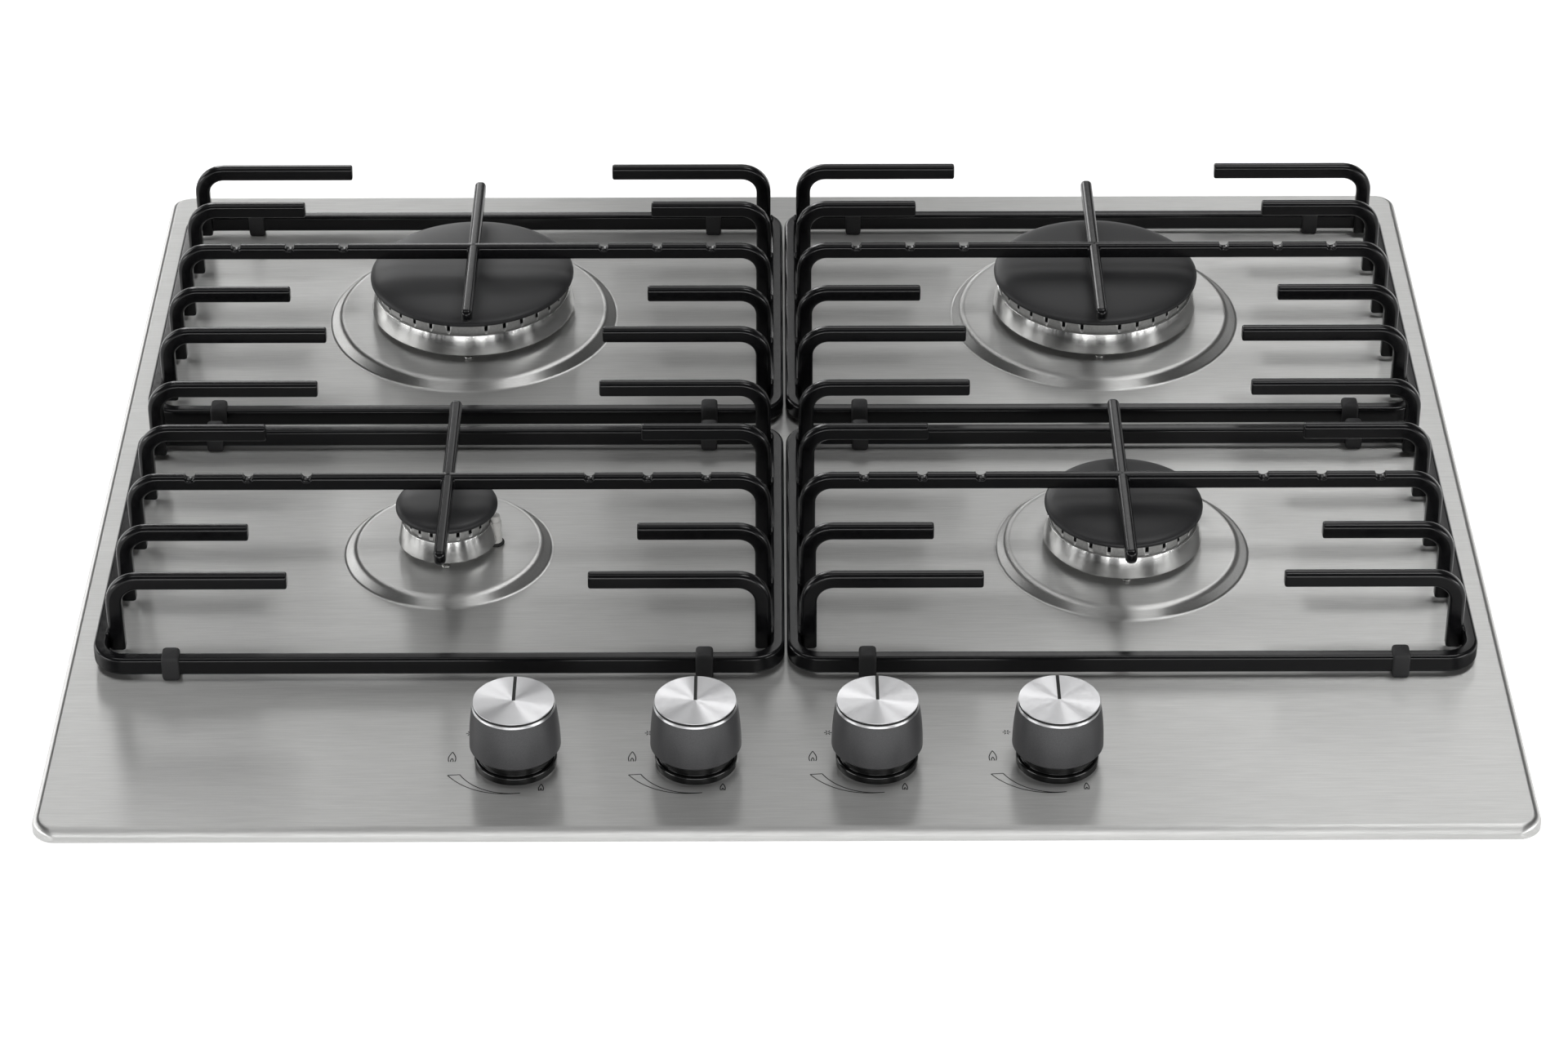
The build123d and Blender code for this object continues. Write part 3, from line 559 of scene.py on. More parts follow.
# ---------- operators ----------
class HOB_OT_plate(bpy.types.Operator):
    """Press the plate: folded edge, burner seats, holes and printed symbols"""

    bl_idname = "hob.plate"
    bl_label = "Plate"

    def execute(self, context):
        sizes = context.scene.hob_plate
        bm = bmesh.new()
        outer = self.edge(bm, sizes)
        holes = [self.seat(bm, burner, sizes) for burner in BURNERS]
        for knob in KNOBS:
            holes.append(ring_of(bm, circle(axis_of(f"knob_skirt_{knob}"), SPINDLE_HOLE_R, 24), PLATE_TOP))
        fill_between(bm, [outer, *holes])
        bmesh.ops.remove_doubles(bm, verts=bm.verts, dist=1e-6)
        flat_uv(bm)
        bmesh.ops.recalc_face_normals(bm, faces=bm.faces)
        top = max(bm.faces, key=lambda face: face.calc_area())
        if top.normal.z < 0:
            bmesh.ops.reverse_faces(bm, faces=bm.faces)
        piece = mesh_object(bm, "pressed_plate", outward=False)
        wall = piece.modifiers.new("sheet", "SOLIDIFY")
        wall.thickness = sizes.sheet
        wall.offset = -1
        wall.use_even_offset = True
        settle(piece)
        place(piece, HOB, brushed_stainless(sizes.steel), "stainless", ["top_plate"])
        self.prints(sizes)
        return {"FINISHED"}

    def edge(self, bm, sizes):
        """Rounded edge folded down all round; gives back its upper ring."""
        half = (PLATE_HIGH - PLATE_LOW) / 2
        rings = []
        steps = 8
        for step in range(steps + 1):
            angle = math.radians(90 * step / steps)
            inset = sizes.edge_r * (1 - math.sin(angle))
            height = PLATE_TOP - sizes.edge_r * (1 - math.cos(angle))
            outline = rounded_rectangle(half.x - inset, half.y - inset, sizes.corner_r - inset)
            rings.append(ring_of(bm, outline, height))
        rings.append(ring_of(bm, outline, PLATE_LOW.z))
        skin(bm, rings)
        return rings[0]

    def seat(self, bm, burner, sizes):
        """Raised seat with the holes of cup and electrode; gives back its lowest ring."""
        axis = axis_of(f"burner_cap_{burner}")
        facts = BURNER_SIZES[burner]
        line = rounded_line(
            [
                (facts.seat_foot + 4 * MM, PLATE_TOP, 0),
                (facts.seat_foot, PLATE_TOP, sizes.seat_foot_r),
                (facts.seat_top, SEAT_TOP, sizes.seat_top_r),
                (facts.seat_top - 6 * MM, SEAT_TOP, 0),
            ],
            closed=False,
        )
        loops = [ring_of(bm, circle(axis, radius, 128), height) for radius, height in line]
        skin(bm, loops)
        inner = [ring_of(bm, circle(axis, facts.neck + 0.5 * MM, 64), SEAT_TOP)]
        inner.append(ring_of(bm, circle(electrode_axis(burner), ELECTRODE_HOLE_R, 24), SEAT_TOP))
        fill_between(bm, [loops[-1], *inner])
        return loops[0]

    def prints(self, sizes):
        """Symbols beside each knob: spark, large flame, tapering band and small flame."""
        bm = bmesh.new()
        for knob in KNOBS:
            axis = axis_of(f"knob_skirt_{knob}").xy
            lines = self.spark(axis + Vector((-19.6, 18.4)) * MM, 1.6 * MM)
            lines += self.flame(axis + Vector((-25.9, -0.8)) * MM, 3.0 * MM, 6.6 * MM)
            lines += self.flame(axis + Vector((10.9, -20.2)) * MM, 2.0 * MM, 4.4 * MM)
            lines += self.band(axis)
            for line in lines:
                inked_line(bm, line, sizes.print_line, PLATE_TOP, sizes.print_rise)
        piece = mesh_object(bm, "plate_prints")
        place(piece, HOB, moulded("printed_ink", sizes.ink, 0.5, 0.65, 1200, 0.02), "knob_black")

    def spark(self, centre, reach):
        """Six short rays round a point."""
        rays = []
        for turn in range(6):
            away = Vector((math.cos(math.radians(60 * turn)), math.sin(math.radians(60 * turn))))
            rays.append([centre + away * reach * 0.3, centre + away * reach])
        return rays

    def flame(self, foot, width, height):
        """Pointed arch with a small one inside, both open below."""
        lines = []
        for scale in (1.0, 0.36):
            for side in (-1, 1):
                line = []
                for step in range(13):
                    up = step / 12
                    swell = math.sin(math.pi * (0.3 + 0.7 * up))
                    line.append(foot + Vector((side * swell * width / 2, up * height)) * scale)
                lines.append(line)
        return lines

    def band(self, axis):
        """Outline that widens as it runs round the knob from its front to its left."""
        inner, outer = [], []
        for step in range(25):
            run = step / 24
            for line, gain, power, last in ((inner, 2.2, 1.3, -157), (outer, 6.9, 1.5, -160)):
                angle = math.radians(-83 + (last + 83) * run)
                radius = (21.9 + gain * run**power) * MM
                line.append(axis + Vector((math.cos(angle), math.sin(angle))) * radius)
        return [inner, outer, [inner[-1], outer[-1]]]


ELECTRODE_HOLE_R = 3.3 * MM
ELECTRODE_GAP_R = 4.0 * MM
SPINDLE_HOLE_R = 4.5 * MM
Burner = namedtuple("Burner", "seat_foot seat_top neck vent slots electrode_turn")
LARGE = Burner(66.8 * MM, 62.0 * MM, 39.5 * MM, 10 * MM, 32, 90)
BURNER_SIZES = {
    "back_left": LARGE,
    "back_right": LARGE,
    "front_left": Burner(44.6 * MM, 40.2 * MM, 14.5 * MM, 6 * MM, 20, 0),
    "front_right": Burner(54.4 * MM, 50.0 * MM, 26.0 * MM, 8 * MM, 24, 28),
}


def ring_radius(burner):
    """Upper radius of the polished ring."""
    return axis_of(f"burner_cap_{burner}").x - corners(f"burner_skirt_{burner}")[0].x


def electrode_axis(burner):
    """Upright axis of a burner's electrode, turned about the burner from its right-hand side."""
    turn = math.radians(BURNER_SIZES[burner].electrode_turn)
    reach = ring_radius(burner) - 1.0 * MM
    return axis_of(f"burner_cap_{burner}") + Vector((math.cos(turn), math.sin(turn), 0)) * reach


def ring_instances_tree():
    """Geometry Nodes tree that sets copies of a piece round a circle and bakes them into one mesh."""
    tree = bpy.data.node_groups.new("round_a_circle", "GeometryNodeTree")
    face = tree.interface
    face.new_socket("Geometry", in_out="INPUT", socket_type="NodeSocketGeometry")
    for name, kind in (
        ("Piece", "NodeSocketObject"),
        ("Count", "NodeSocketInt"),
        ("Radius", "NodeSocketFloat"),
        ("First", "NodeSocketFloat"),
        ("Middle", "NodeSocketVector"),
        ("Skip", "NodeSocketInt"),
        ("Material", "NodeSocketMaterial"),
    ):
        face.new_socket(name, in_out="INPUT", socket_type=kind)
    face.new_socket("Geometry", in_out="OUTPUT", socket_type="NodeSocketGeometry")
    given = add(tree, "NodeGroupInput")
    out = add(tree, "NodeGroupOutput")
    points = add(tree, "GeometryNodePoints")
    index = add(tree, "GeometryNodeInputIndex")
    pitch = add(tree, "ShaderNodeMath", {0: 2 * math.pi}, operation="DIVIDE")
    step = add(tree, "ShaderNodeMath", operation="MULTIPLY")
    angle = add(tree, "ShaderNodeMath", operation="ADD")
    cosine = add(tree, "ShaderNodeMath", operation="COSINE")
    sine = add(tree, "ShaderNodeMath", operation="SINE")
    arm = add(tree, "ShaderNodeCombineXYZ")
    reach = add(tree, "ShaderNodeVectorMath", operation="SCALE")
    where = add(tree, "ShaderNodeVectorMath", operation="ADD")
    turn = add(tree, "ShaderNodeCombineXYZ")
    source = add(tree, "GeometryNodeObjectInfo", {"As Instance": True})
    keep = add(tree, "FunctionNodeCompare", data_type="INT", operation="NOT_EQUAL")
    copies = add(tree, "GeometryNodeInstanceOnPoints")
    real = add(tree, "GeometryNodeRealizeInstances")
    paint = add(tree, "GeometryNodeSetMaterial")
    for source_node, leaving, target_node, entering in (
        (given, "Count", pitch, 1),
        (index, 0, step, 0),
        (pitch, 0, step, 1),
        (step, 0, angle, 0),
        (given, "First", angle, 1),
        (angle, 0, cosine, 0),
        (angle, 0, sine, 0),
        (cosine, 0, arm, "X"),
        (sine, 0, arm, "Y"),
        (arm, 0, reach, 0),
        (given, "Radius", reach, "Scale"),
        (reach, 0, where, 0),
        (given, "Middle", where, 1),
        (given, "Count", points, "Count"),
        (where, 0, points, "Position"),
        (angle, 0, turn, "Z"),
        (given, "Piece", source, "Object"),
        (index, 0, keep, 2),
        (given, "Skip", keep, 3),
        (points, 0, copies, "Points"),
        (keep, 0, copies, "Selection"),
        (source, "Geometry", copies, "Instance"),
        (turn, 0, copies, "Rotation"),
        (copies, 0, real, 0),
        (real, 0, paint, "Geometry"),
        (given, "Material", paint, "Material"),
        (paint, 0, out, 0),
    ):
        tree.links.new(source_node.outputs[leaving], target_node.inputs[entering])
    return tree


def around(name, seed, count, radius, first, centre, skip=-1, material=None):
    """Copies of a seed piece round a circle as one baked object."""
    tree = bpy.data.node_groups.get("round_a_circle") or ring_instances_tree()
    mesh = bpy.data.meshes.new(name)
    piece = bpy.data.objects.new(name, mesh)
    show(piece)
    modifier = piece.modifiers.new("round", "NODES")
    modifier.node_group = tree
    wanted = {
        "Piece": seed,
        "Count": count,
        "Radius": radius,
        "First": first,
        "Middle": centre,
        "Skip": skip,
        "Material": material,
    }
    for item in tree.interface.items_tree:
        if item.in_out == "INPUT" and wanted.get(item.name) is not None:
            modifier[item.identifier] = wanted[item.name]
    settle(piece, flat_first=False)
    bpy.data.objects.remove(seed)
    return piece


def cut(piece, cutter):
    """Take a cutter's shape out of a piece."""
    modifier = piece.modifiers.new("cut", "BOOLEAN")
    modifier.operation = "DIFFERENCE"
    modifier.solver = "EXACT"
    modifier.object = cutter
    settle(piece, flat_first=False)
    bpy.data.objects.remove(cutter)


def upright_cutter(axis, radius, low, high):
    """Round cutter used for holes and recesses."""
    return turned_piece("cutter", [(0, low), (radius, low), (radius, high), (0, high)], axis, 24)


class HOB_OT_burners(bpy.types.Operator):
    """Make the cups, polished rings, slotted crowns, caps, electrodes and screws of all burners"""

    bl_idname = "hob.burners"
    bl_label = "Burners"

    def execute(self, context):
        sizes = context.scene.hob_burners
        finishes = {
            "ring": polished_ring(sizes.ring),
            "crown": cast_alloy("cast_crown_alloy", sizes.crown, 0.25),
            # cup alloy darkened to 0.7 of the crown's tone: painted shade where the cup shows under the ring
            "cup": cast_alloy("cast_cup_alloy", shade_of(sizes.crown, 0.7), 0.4),
            # near-black material that paints shade inside the flame slots
            "painted_slot_shade": moulded("sooted_slot", (0.006, 0.006, 0.006), 0.8, 0.95),
            "cap": matt_enamel(sizes.cap),
            "ceramic": porcelain(sizes.ceramic),
            "rubber": moulded("electrode_seal_rubber", (0.015, 0.015, 0.015), 0.5, 0.7),
            "screw": worked_metal("screw_steel", (0.66, 0.66, 0.65), 0.14, 0.24),
        }
        for burner in BURNERS:
            self.ring(burner, sizes, finishes["ring"])
            self.crown(burner, sizes, finishes["crown"], finishes["painted_slot_shade"])
            self.cap(burner, sizes, finishes["cap"])
            self.cup(burner, finishes["cup"])
            self.screws(burner, sizes, finishes["screw"])
            self.electrode_seal(burner, finishes["rubber"])
        self.electrodes(finishes["ceramic"])
        return {"FINISHED"}

    def ring(self, burner, sizes, finish):
        """Polished conical ring that widens to a rolled lower edge."""
        axis = axis_of(f"burner_cap_{burner}")
        low, high = corners(f"burner_skirt_{burner}")
        foot_r = ring_radius(burner) + 0.15 * MM
        top_r = ring_radius(burner) - 1.9 * MM
        foot_z = low.z + 0.5 * MM
        top_z = high.z - 1.1 * MM
        sheet = sizes.ring_sheet
        hole_r = BURNER_SIZES[burner].neck - 1.4 * MM
        line = rounded_line([
            (hole_r, foot_z, 0),
            (foot_r, foot_z, 0.45 * MM),
            (top_r, top_z, 0.25 * MM),
            (top_r - sheet, top_z, 0.15 * MM),
            (foot_r - 1.2 * MM, foot_z + sheet, 0.3 * MM),
            (hole_r, foot_z + sheet, 0),
        ], steps=4)
        piece = turned_piece(f"polished_ring_{burner}", line, axis, 128)
        cut(piece, upright_cutter(electrode_axis(burner), ELECTRODE_GAP_R, low.z - 2 * MM, high.z + 2 * MM))
        place(piece, HOB, finish, "polished_ring", [f"burner_skirt_{burner}"])

    def crown(self, burner, sizes, finish, painted_slot_shade):
        """Cast crown with open flame slots, none at the very front."""
        axis = axis_of(f"burner_cap_{burner}")
        low, high = corners(f"burner_crown_{burner}")
        outer = ring_radius(burner) - 2.95 * MM
        wall = outer - 3.6 * MM
        vent = BURNER_SIZES[burner].vent
        line = rounded_line([
            (vent, low.z, 0.3 * MM),
            (outer, low.z, 0.3 * MM),
            (outer, high.z, 0.6 * MM),
            (wall, high.z, 0.4 * MM),
            (wall, low.z + 2 * MM, 0.6 * MM),
            (vent, low.z + 2 * MM, 0.3 * MM),
        ], steps=3)
        piece = turned_piece(f"slotted_crown_{burner}", line, axis, 128)
        bm = bmesh.new()
        outline = [(-3.4 * MM, -sizes.slot_width / 2), (3.4 * MM, -sizes.slot_width / 2)]
        outline += [(3.4 * MM, sizes.slot_width / 2), (-3.4 * MM, sizes.slot_width / 2)]
        skin(bm, [ring_of(bm, outline, high.z - sizes.slot_height), ring_of(bm, outline, high.z + MM)], capped=True)
        seed = mesh_object(bm, "slot_seed")
        slots = around("slots", seed, BURNER_SIZES[burner].slots, outer - 2.2 * MM, -math.pi / 2, axis, skip=0)
        cut(piece, slots)
        cut(piece, upright_cutter(electrode_axis(burner), ELECTRODE_GAP_R, low.z - 2 * MM, high.z + 2 * MM))
        place(piece, HOB, finish, "cast_crown", [f"burner_crown_{burner}"])
        # the slot sides and the crown's inner wall near its top take the near-black second material: painted shade
        # inside the slots
        piece.data.materials.append(painted_slot_shade)
        for face in piece.data.polygons:
            away = (face.center - axis).xy.length
            if away < outer - 0.35 * MM and face.center.z > high.z - sizes.slot_height - 0.2 * MM:
                face.material_index = 1

    def cap(self, burner, sizes, finish):
        """Enamelled lid with a rounded rim and a low dome."""
        axis = axis_of(f"burner_cap_{burner}")
        low, high = corners(f"burner_cap_{burner}")
        radius = high.x - axis.x
        seat = low.z + 2.6 * MM
        edge = seat + sizes.cap_edge
        guide = ring_radius(burner) - 7.4 * MM
        line = rounded_line([
            (0, low.z, 0),
            (guide, low.z, 0.4 * MM),
            (guide, seat, 0.2 * MM),
            (radius - 0.1 * MM, seat, 0.5 * MM),
            (radius, edge, 0),
        ], closed=False, steps=4)
        steps = 28
        for step in range(1, steps + 1):
            share_out = math.cos(math.radians(90 * step / steps))
            rise = (1 - share_out**5) ** (1 / 2.2)
            line.append(Vector((radius * share_out, edge + (high.z - edge) * rise)))
        piece = turned_piece(f"enamelled_cap_{burner}", line, axis, 128)
        settle(piece)
        place(piece, f"cap_{burner}", finish, "cap_enamel", [f"burner_cap_{burner}"])

    def cup(self, burner, finish):
        """Round cast cup with a clamping flange below the plate and a lip above it."""
        axis = axis_of(f"burner_cap_{burner}")
        low, high = corners(f"burner_cup_{burner}")
        neck = BURNER_SIZES[burner].neck
        lip = neck + 1.4 * MM
        flange = neck + 6.0 * MM
        flange_top = PLATE_TOP - 1.05 * MM
        line = rounded_line([
            (0, low.z, 0),
            (9.5 * MM, low.z, 0.8 * MM),
            (9.5 * MM, -11 * MM, 1.0 * MM),
            (neck, -11 * MM, 2.0 * MM),
            (neck, flange_top - 1.4 * MM, 0.5 * MM),
            (flange, flange_top - 1.4 * MM, 0.5 * MM),
            (flange, flange_top, 0.3 * MM),
            (neck, flange_top, 0),
            (neck, SEAT_TOP, 0),
            (lip, SEAT_TOP, 0.2 * MM),
            (lip, SEAT_TOP + 1.2 * MM, 0.4 * MM),
            (neck, SEAT_TOP + 1.2 * MM, 0.3 * MM),
            (neck, 13 * MM, 0),
            (neck - 1.5 * MM, 13 * MM, 0),
            (neck - 1.5 * MM, high.z, 0),
            (neck - 3 * MM, high.z, 0),
            (neck - 3 * MM, -8 * MM, 1.0 * MM),
            (0, -8 * MM, 0),
        ], closed=False, steps=3)
        piece = turned_piece(f"cast_cup_{burner}", line, axis, 96)
        cut(piece, upright_cutter(electrode_axis(burner), ELECTRODE_GAP_R, 0, high.z + 2 * MM))
        place(piece, HOB, finish, "cast_cup", [f"burner_cup_{burner}"])

    def screws(self, burner, sizes, finish):
        """Three domed cross-slot screws that clamp the cup's flange to the plate."""
        radius = sizes.screw_r
        base = SEAT_TOP + 0.2 * MM
        line = rounded_line([
            (0, base - 0.3 * MM, 0),
            (radius, base - 0.3 * MM, 0),
            (radius, base + 0.6 * MM, 0.4 * MM),
            (radius * 0.5, base + 1.3 * MM, 0.5 * MM),
            (0, base + 1.35 * MM, 0),
        ], closed=False, steps=4)
        seed = turned_piece("screw_seed", line, Vector((0, 0, 0)), 24)
        arm = radius * 0.55
        for turn in (0, math.pi / 2):
            bm = bmesh.new()
            along = Vector((math.cos(turn), math.sin(turn)))
            across = Vector((-along.y, along.x)) * 0.25 * MM
            outline = [-arm * along - across, arm * along - across, arm * along + across, -arm * along + across]
            skin(bm, [ring_of(bm, outline, base + 0.7 * MM), ring_of(bm, outline, base + 2 * MM)], capped=True)
            cut(seed, mesh_object(bm, "driver"))
        reach = BURNER_SIZES[burner].neck + 3.5 * MM
        axis = axis_of(f"burner_cap_{burner}")
        piece = around(f"burner_screws_{burner}", seed, 3, reach, -math.pi / 2, axis, material=finish)
        place(piece, HOB, finish, "zinc_steel")

    def electrode_seal(self, burner, finish):
        """Rubber ring at the electrode's foot."""
        axis = electrode_axis(burner)
        base = SEAT_TOP
        line = rounded_line([
            (2.85 * MM, base, 0),
            (3.8 * MM, base, 0.3 * MM),
            (3.6 * MM, base + 1.1 * MM, 0.5 * MM),
            (2.85 * MM, base + 1.3 * MM, 0),
        ], steps=4)
        piece = turned_piece(f"electrode_seal_{burner}", line, axis, 40)
        place(piece, HOB, finish, "black_rubber")

    def electrodes(self, finish):
        """White ceramic rods with a rounded shoulder and a steel tip."""
        low, high = corners("electrodes")
        bm = bmesh.new()
        for burner in BURNERS:
            axis = electrode_axis(burner)
            line = rounded_line([
                (0, low.z, 0),
                (2.8 * MM, low.z, 0.4 * MM),
                (2.8 * MM, high.z - 3.2 * MM, 0.5 * MM),
                (2.2 * MM, high.z - 2.8 * MM, 0.3 * MM),
                (2.2 * MM, high.z, 0.7 * MM),
                (0, high.z, 0),
            ], closed=False, steps=5)
            turned(bm, line, axis, 40)
        piece = mesh_object(bm, "ceramic_electrodes")
        place(piece, HOB, finish, "white_ceramic", ["electrodes"])


# a support's rows in mm, from its long bar and from its middle
FINGERS = ((75.0, 62.3), (39.0, 81.8))
ROWS = (-75.0, -39.0, 0, 39.0, 75.0)
NOTCHES = (60.5, 85.5, 110.5)
STRAP_X = 110.5
CROSS_HALF = 61.0
RAIL_LOW = 8 * MM
RAIL_TOP = 16 * MM
RAIL_CORNER = 14 * MM


def support_facts(burner):
    """Middle of a pan support's rail and the place of its long bar along Y."""
    return middle(f"grate_{burner}"), middle(f"burner_cap_{burner}").y


class HOB_OT_supports(bpy.types.Operator):
    """Weld the four pan supports: rail, fingers, notched long bar and cross bar"""

    bl_idname = "hob.supports"
    bl_label = "Pan supports"

    def execute(self, context):
        sizes = context.scene.hob_supports
        enamel = gloss_enamel(sizes.enamel)
        rubber = moulded("foot_rubber", sizes.rubber, 0.55, 0.75, 1500, 0.15)
        for burner in BURNERS:
            self.support(burner, sizes, enamel)
            self.feet(burner, sizes, rubber)
        return {"FINISHED"}

    def support(self, burner, sizes, enamel):
        """One welded pan support."""
        centre, row_y = support_facts(burner)
        low, high = corners(f"grate_{burner}")
        half_x = (high.x - low.x) / 2
        half_y = (high.y - low.y) / 2
        leg_out = half_x - sizes.rail_width + 0.2 * MM
        mid_z = high.z - sizes.bar_height / 2
        origin = Vector((centre.x, row_y, 0))
        bm = bmesh.new()
        self.rail(bm, sizes, centre, half_x, half_y)
        for side in (-1, 1):
            for row, tip in FINGERS:
                for y in (-row, row):
                    start = Vector((centre.x, row_y + y * MM, 0))
                    path = self.half_path(start, side, tip * MM, leg_out, mid_z, sizes)
                    bar(bm, path, self.bar_outline(sizes), Vector((0, 1, 0)), blunt=0.9 * MM)
        self.long_bar(bm, origin, leg_out, mid_z, sizes)
        half = CROSS_HALF * MM
        ends = [Vector((centre.x, row_y - half, mid_z)), Vector((centre.x, row_y + half, mid_z))]
        tongue = section(sizes.bar_width, sizes.bar_height, sizes.bar_round, 2.4 * MM, 6)
        bar(bm, [(point, Vector((0, 0, 1))) for point in ends], tongue, Vector((1, 0, 0)), blunt=2.4 * MM)
        self.knuckle(bm, origin, low_z=high.z - sizes.bar_height, high_z=high.z)
        for side in (-1, 1):
            for y in ROWS:
                foot = Vector((centre.x + side * (leg_out + 0.2 * MM), row_y + y * MM, RAIL_TOP))
                self.weld(bm, foot, sizes.bar_width * 0.95)
        piece = mesh_object(bm, f"welded_support_{burner}", 40)
        settle(piece)
        place(piece, f"pan_support_{burner}", enamel, "black_enamel", [f"grate_{burner}"])

    def bar_outline(self, sizes):
        """Section of a finger and of the long bar."""
        return section(sizes.bar_width, sizes.bar_height, sizes.bar_round, 1.2 * MM)

    def long_bar(self, bm, origin, leg_out, mid_z, sizes):
        """Notched bar from leg to leg."""
        right = self.half_path(origin, 1, 0, leg_out, mid_z, sizes)
        left = self.half_path(origin, -1, 0, leg_out, mid_z, sizes)
        level = self.notched_run(origin, leg_out - sizes.bend_r, mid_z, sizes)
        notches = [origin.x + x * MM * side for side in (-1, 1) for x in NOTCHES]

        def dips(point, share_up):
            gap = min(abs(point.x - x) for x in notches)
            if gap >= sizes.notch_r or abs(point.z - mid_z) > 1e-5:
                return 0
            return share_up * math.sqrt(sizes.notch_r**2 - gap**2) * 0.92

        path = list(reversed(left[1:])) + level + right[1:]
        bar(bm, path, self.bar_outline(sizes), Vector((0, 1, 0)), blunt=0.9 * MM, dips=dips)

    def knuckle(self, bm, axis, low_z, high_z):
        """Blended swelling where the long bar and the cross bar meet."""
        line = rounded_line([
            (0, low_z + 0.3 * MM, 0),
            (4.2 * MM, low_z + 0.3 * MM, 1.4 * MM),
            (4.2 * MM, high_z - 0.1 * MM, 2.4 * MM),
            (0, high_z - 0.1 * MM, 0),
        ], closed=False, steps=6)
        turned(bm, line, axis, 40)

    def weld(self, bm, middle_point, run):
        """Scalloped bead along Y between a leg and the rail's top."""
        rings = []
        beads = 21
        for index in range(beads):
            along = index / (beads - 1)
            swell = (0.86 + 0.14 * math.cos(2 * math.pi * 4 * along)) * math.sin(math.pi * (0.12 + 0.76 * along)) ** 0.3
            at = middle_point + Vector((0, (along - 0.5) * run, 0))
            angles = [2 * math.pi * turn / 12 for turn in range(12)]
            radius = 1.1 * MM * swell
            rings.append([bm.verts.new(at + Vector((math.cos(a), 0, math.sin(a))) * radius) for a in angles])
        skin(bm, rings, capped=True)

    def half_path(self, origin, side, tip, leg_out, mid_z, sizes):
        """Stations from a finger's tip out, round the bend and down its leg."""
        height = sizes.bar_height
        bend = sizes.bend_r - height / 2
        stations = [(origin + Vector((side * tip, 0, mid_z)), Vector((0, 0, 1)))]
        bend_x = leg_out - height / 2 - bend
        bend_z = mid_z - bend
        steps = 10
        for step in range(steps + 1):
            angle = math.radians(90 - 90 * step / steps)
            out = Vector((side * math.cos(angle), 0, math.sin(angle)))
            stations.append((origin + Vector((side * bend_x, 0, bend_z)) + out * bend, out))
        stations.append((origin + Vector((side * (bend_x + bend), 0, 8.2 * MM)), Vector((side, 0, 0))))
        return stations

    def notched_run(self, origin, reach, mid_z, sizes):
        """Stations along the level part of the long bar, close together at the notches."""
        places = {0.0}
        for x in NOTCHES:
            for step in range(-12, 13):
                offset = math.sin(math.radians(90 * step / 12)) * sizes.notch_r
                places.add(round(x * MM + offset, 7))
        xs = sorted({-x for x in places} | places)
        xs = [x for x in xs if abs(x) < reach - 0.2 * MM]
        return [(origin + Vector((x, 0, mid_z)), Vector((0, 0, 1))) for x in xs]

    def rail(self, bm, sizes, centre, half_x, half_y):
        """Closed rail with rounded corners."""
        mid_z = (RAIL_LOW + RAIL_TOP) / 2
        outline = section(sizes.rail_width, RAIL_TOP - RAIL_LOW, sizes.rail_round)
        inset = sizes.rail_width / 2
        path = rounded_rectangle(half_x - inset, half_y - inset, RAIL_CORNER - inset, 10)
        rings = []
        count = len(path)
        for index, point in enumerate(path):
            ahead = (path[(index + 1) % count] - point).normalized()
            behind = (point - path[index - 1]).normalized()
            along = (ahead + behind).normalized()
            side = Vector((along.y, -along.x, 0))
            origin = Vector((centre.x + point.x, centre.y + point.y, mid_z))
            rings.append([bm.verts.new(origin + side * a + Vector((0, 0, b))) for a, b in outline])
        skin(bm, rings, closed_path=True)

    def feet(self, burner, sizes, rubber):
        """Rubber straps round the rail that stand on the plate."""
        centre = middle(f"grate_{burner}")
        low, high = corners(f"grate_feet_{burner}")
        rail_low, rail_high = corners(f"grate_{burner}")
        bm = bmesh.new()
        half_wide = 3.65 * MM
        half_deep = sizes.rail_width / 2 + 1.2 * MM
        for side_x in (-1, 1):
            for side_y in (-1, 1):
                x = centre.x + side_x * STRAP_X * MM
                y = centre.y + side_y * ((rail_high.y - rail_low.y) / 2 - sizes.rail_width / 2)
                rings = []
                profile = [
                    (0.86, low.z),
                    (0.94, low.z + 0.5 * MM),
                    (1.0, low.z + 2 * MM),
                    (1.0, high.z - 2.2 * MM),
                    (0.97, high.z - 1.2 * MM),
                    (0.90, high.z - 0.5 * MM),
                    (0.78, high.z),
                ]
                for grow, height in profile:
                    outline = rounded_rectangle(half_wide * grow, half_deep * grow, 1.0 * MM, 4)
                    rings.append(ring_of(bm, [(x + p.x, y + p.y) for p in outline], height))
                skin(bm, rings, capped=True)
        piece = mesh_object(bm, f"strap_feet_{burner}", 50)
        place(piece, f"pan_support_{burner}", rubber, "black_rubber", [f"grate_feet_{burner}"])


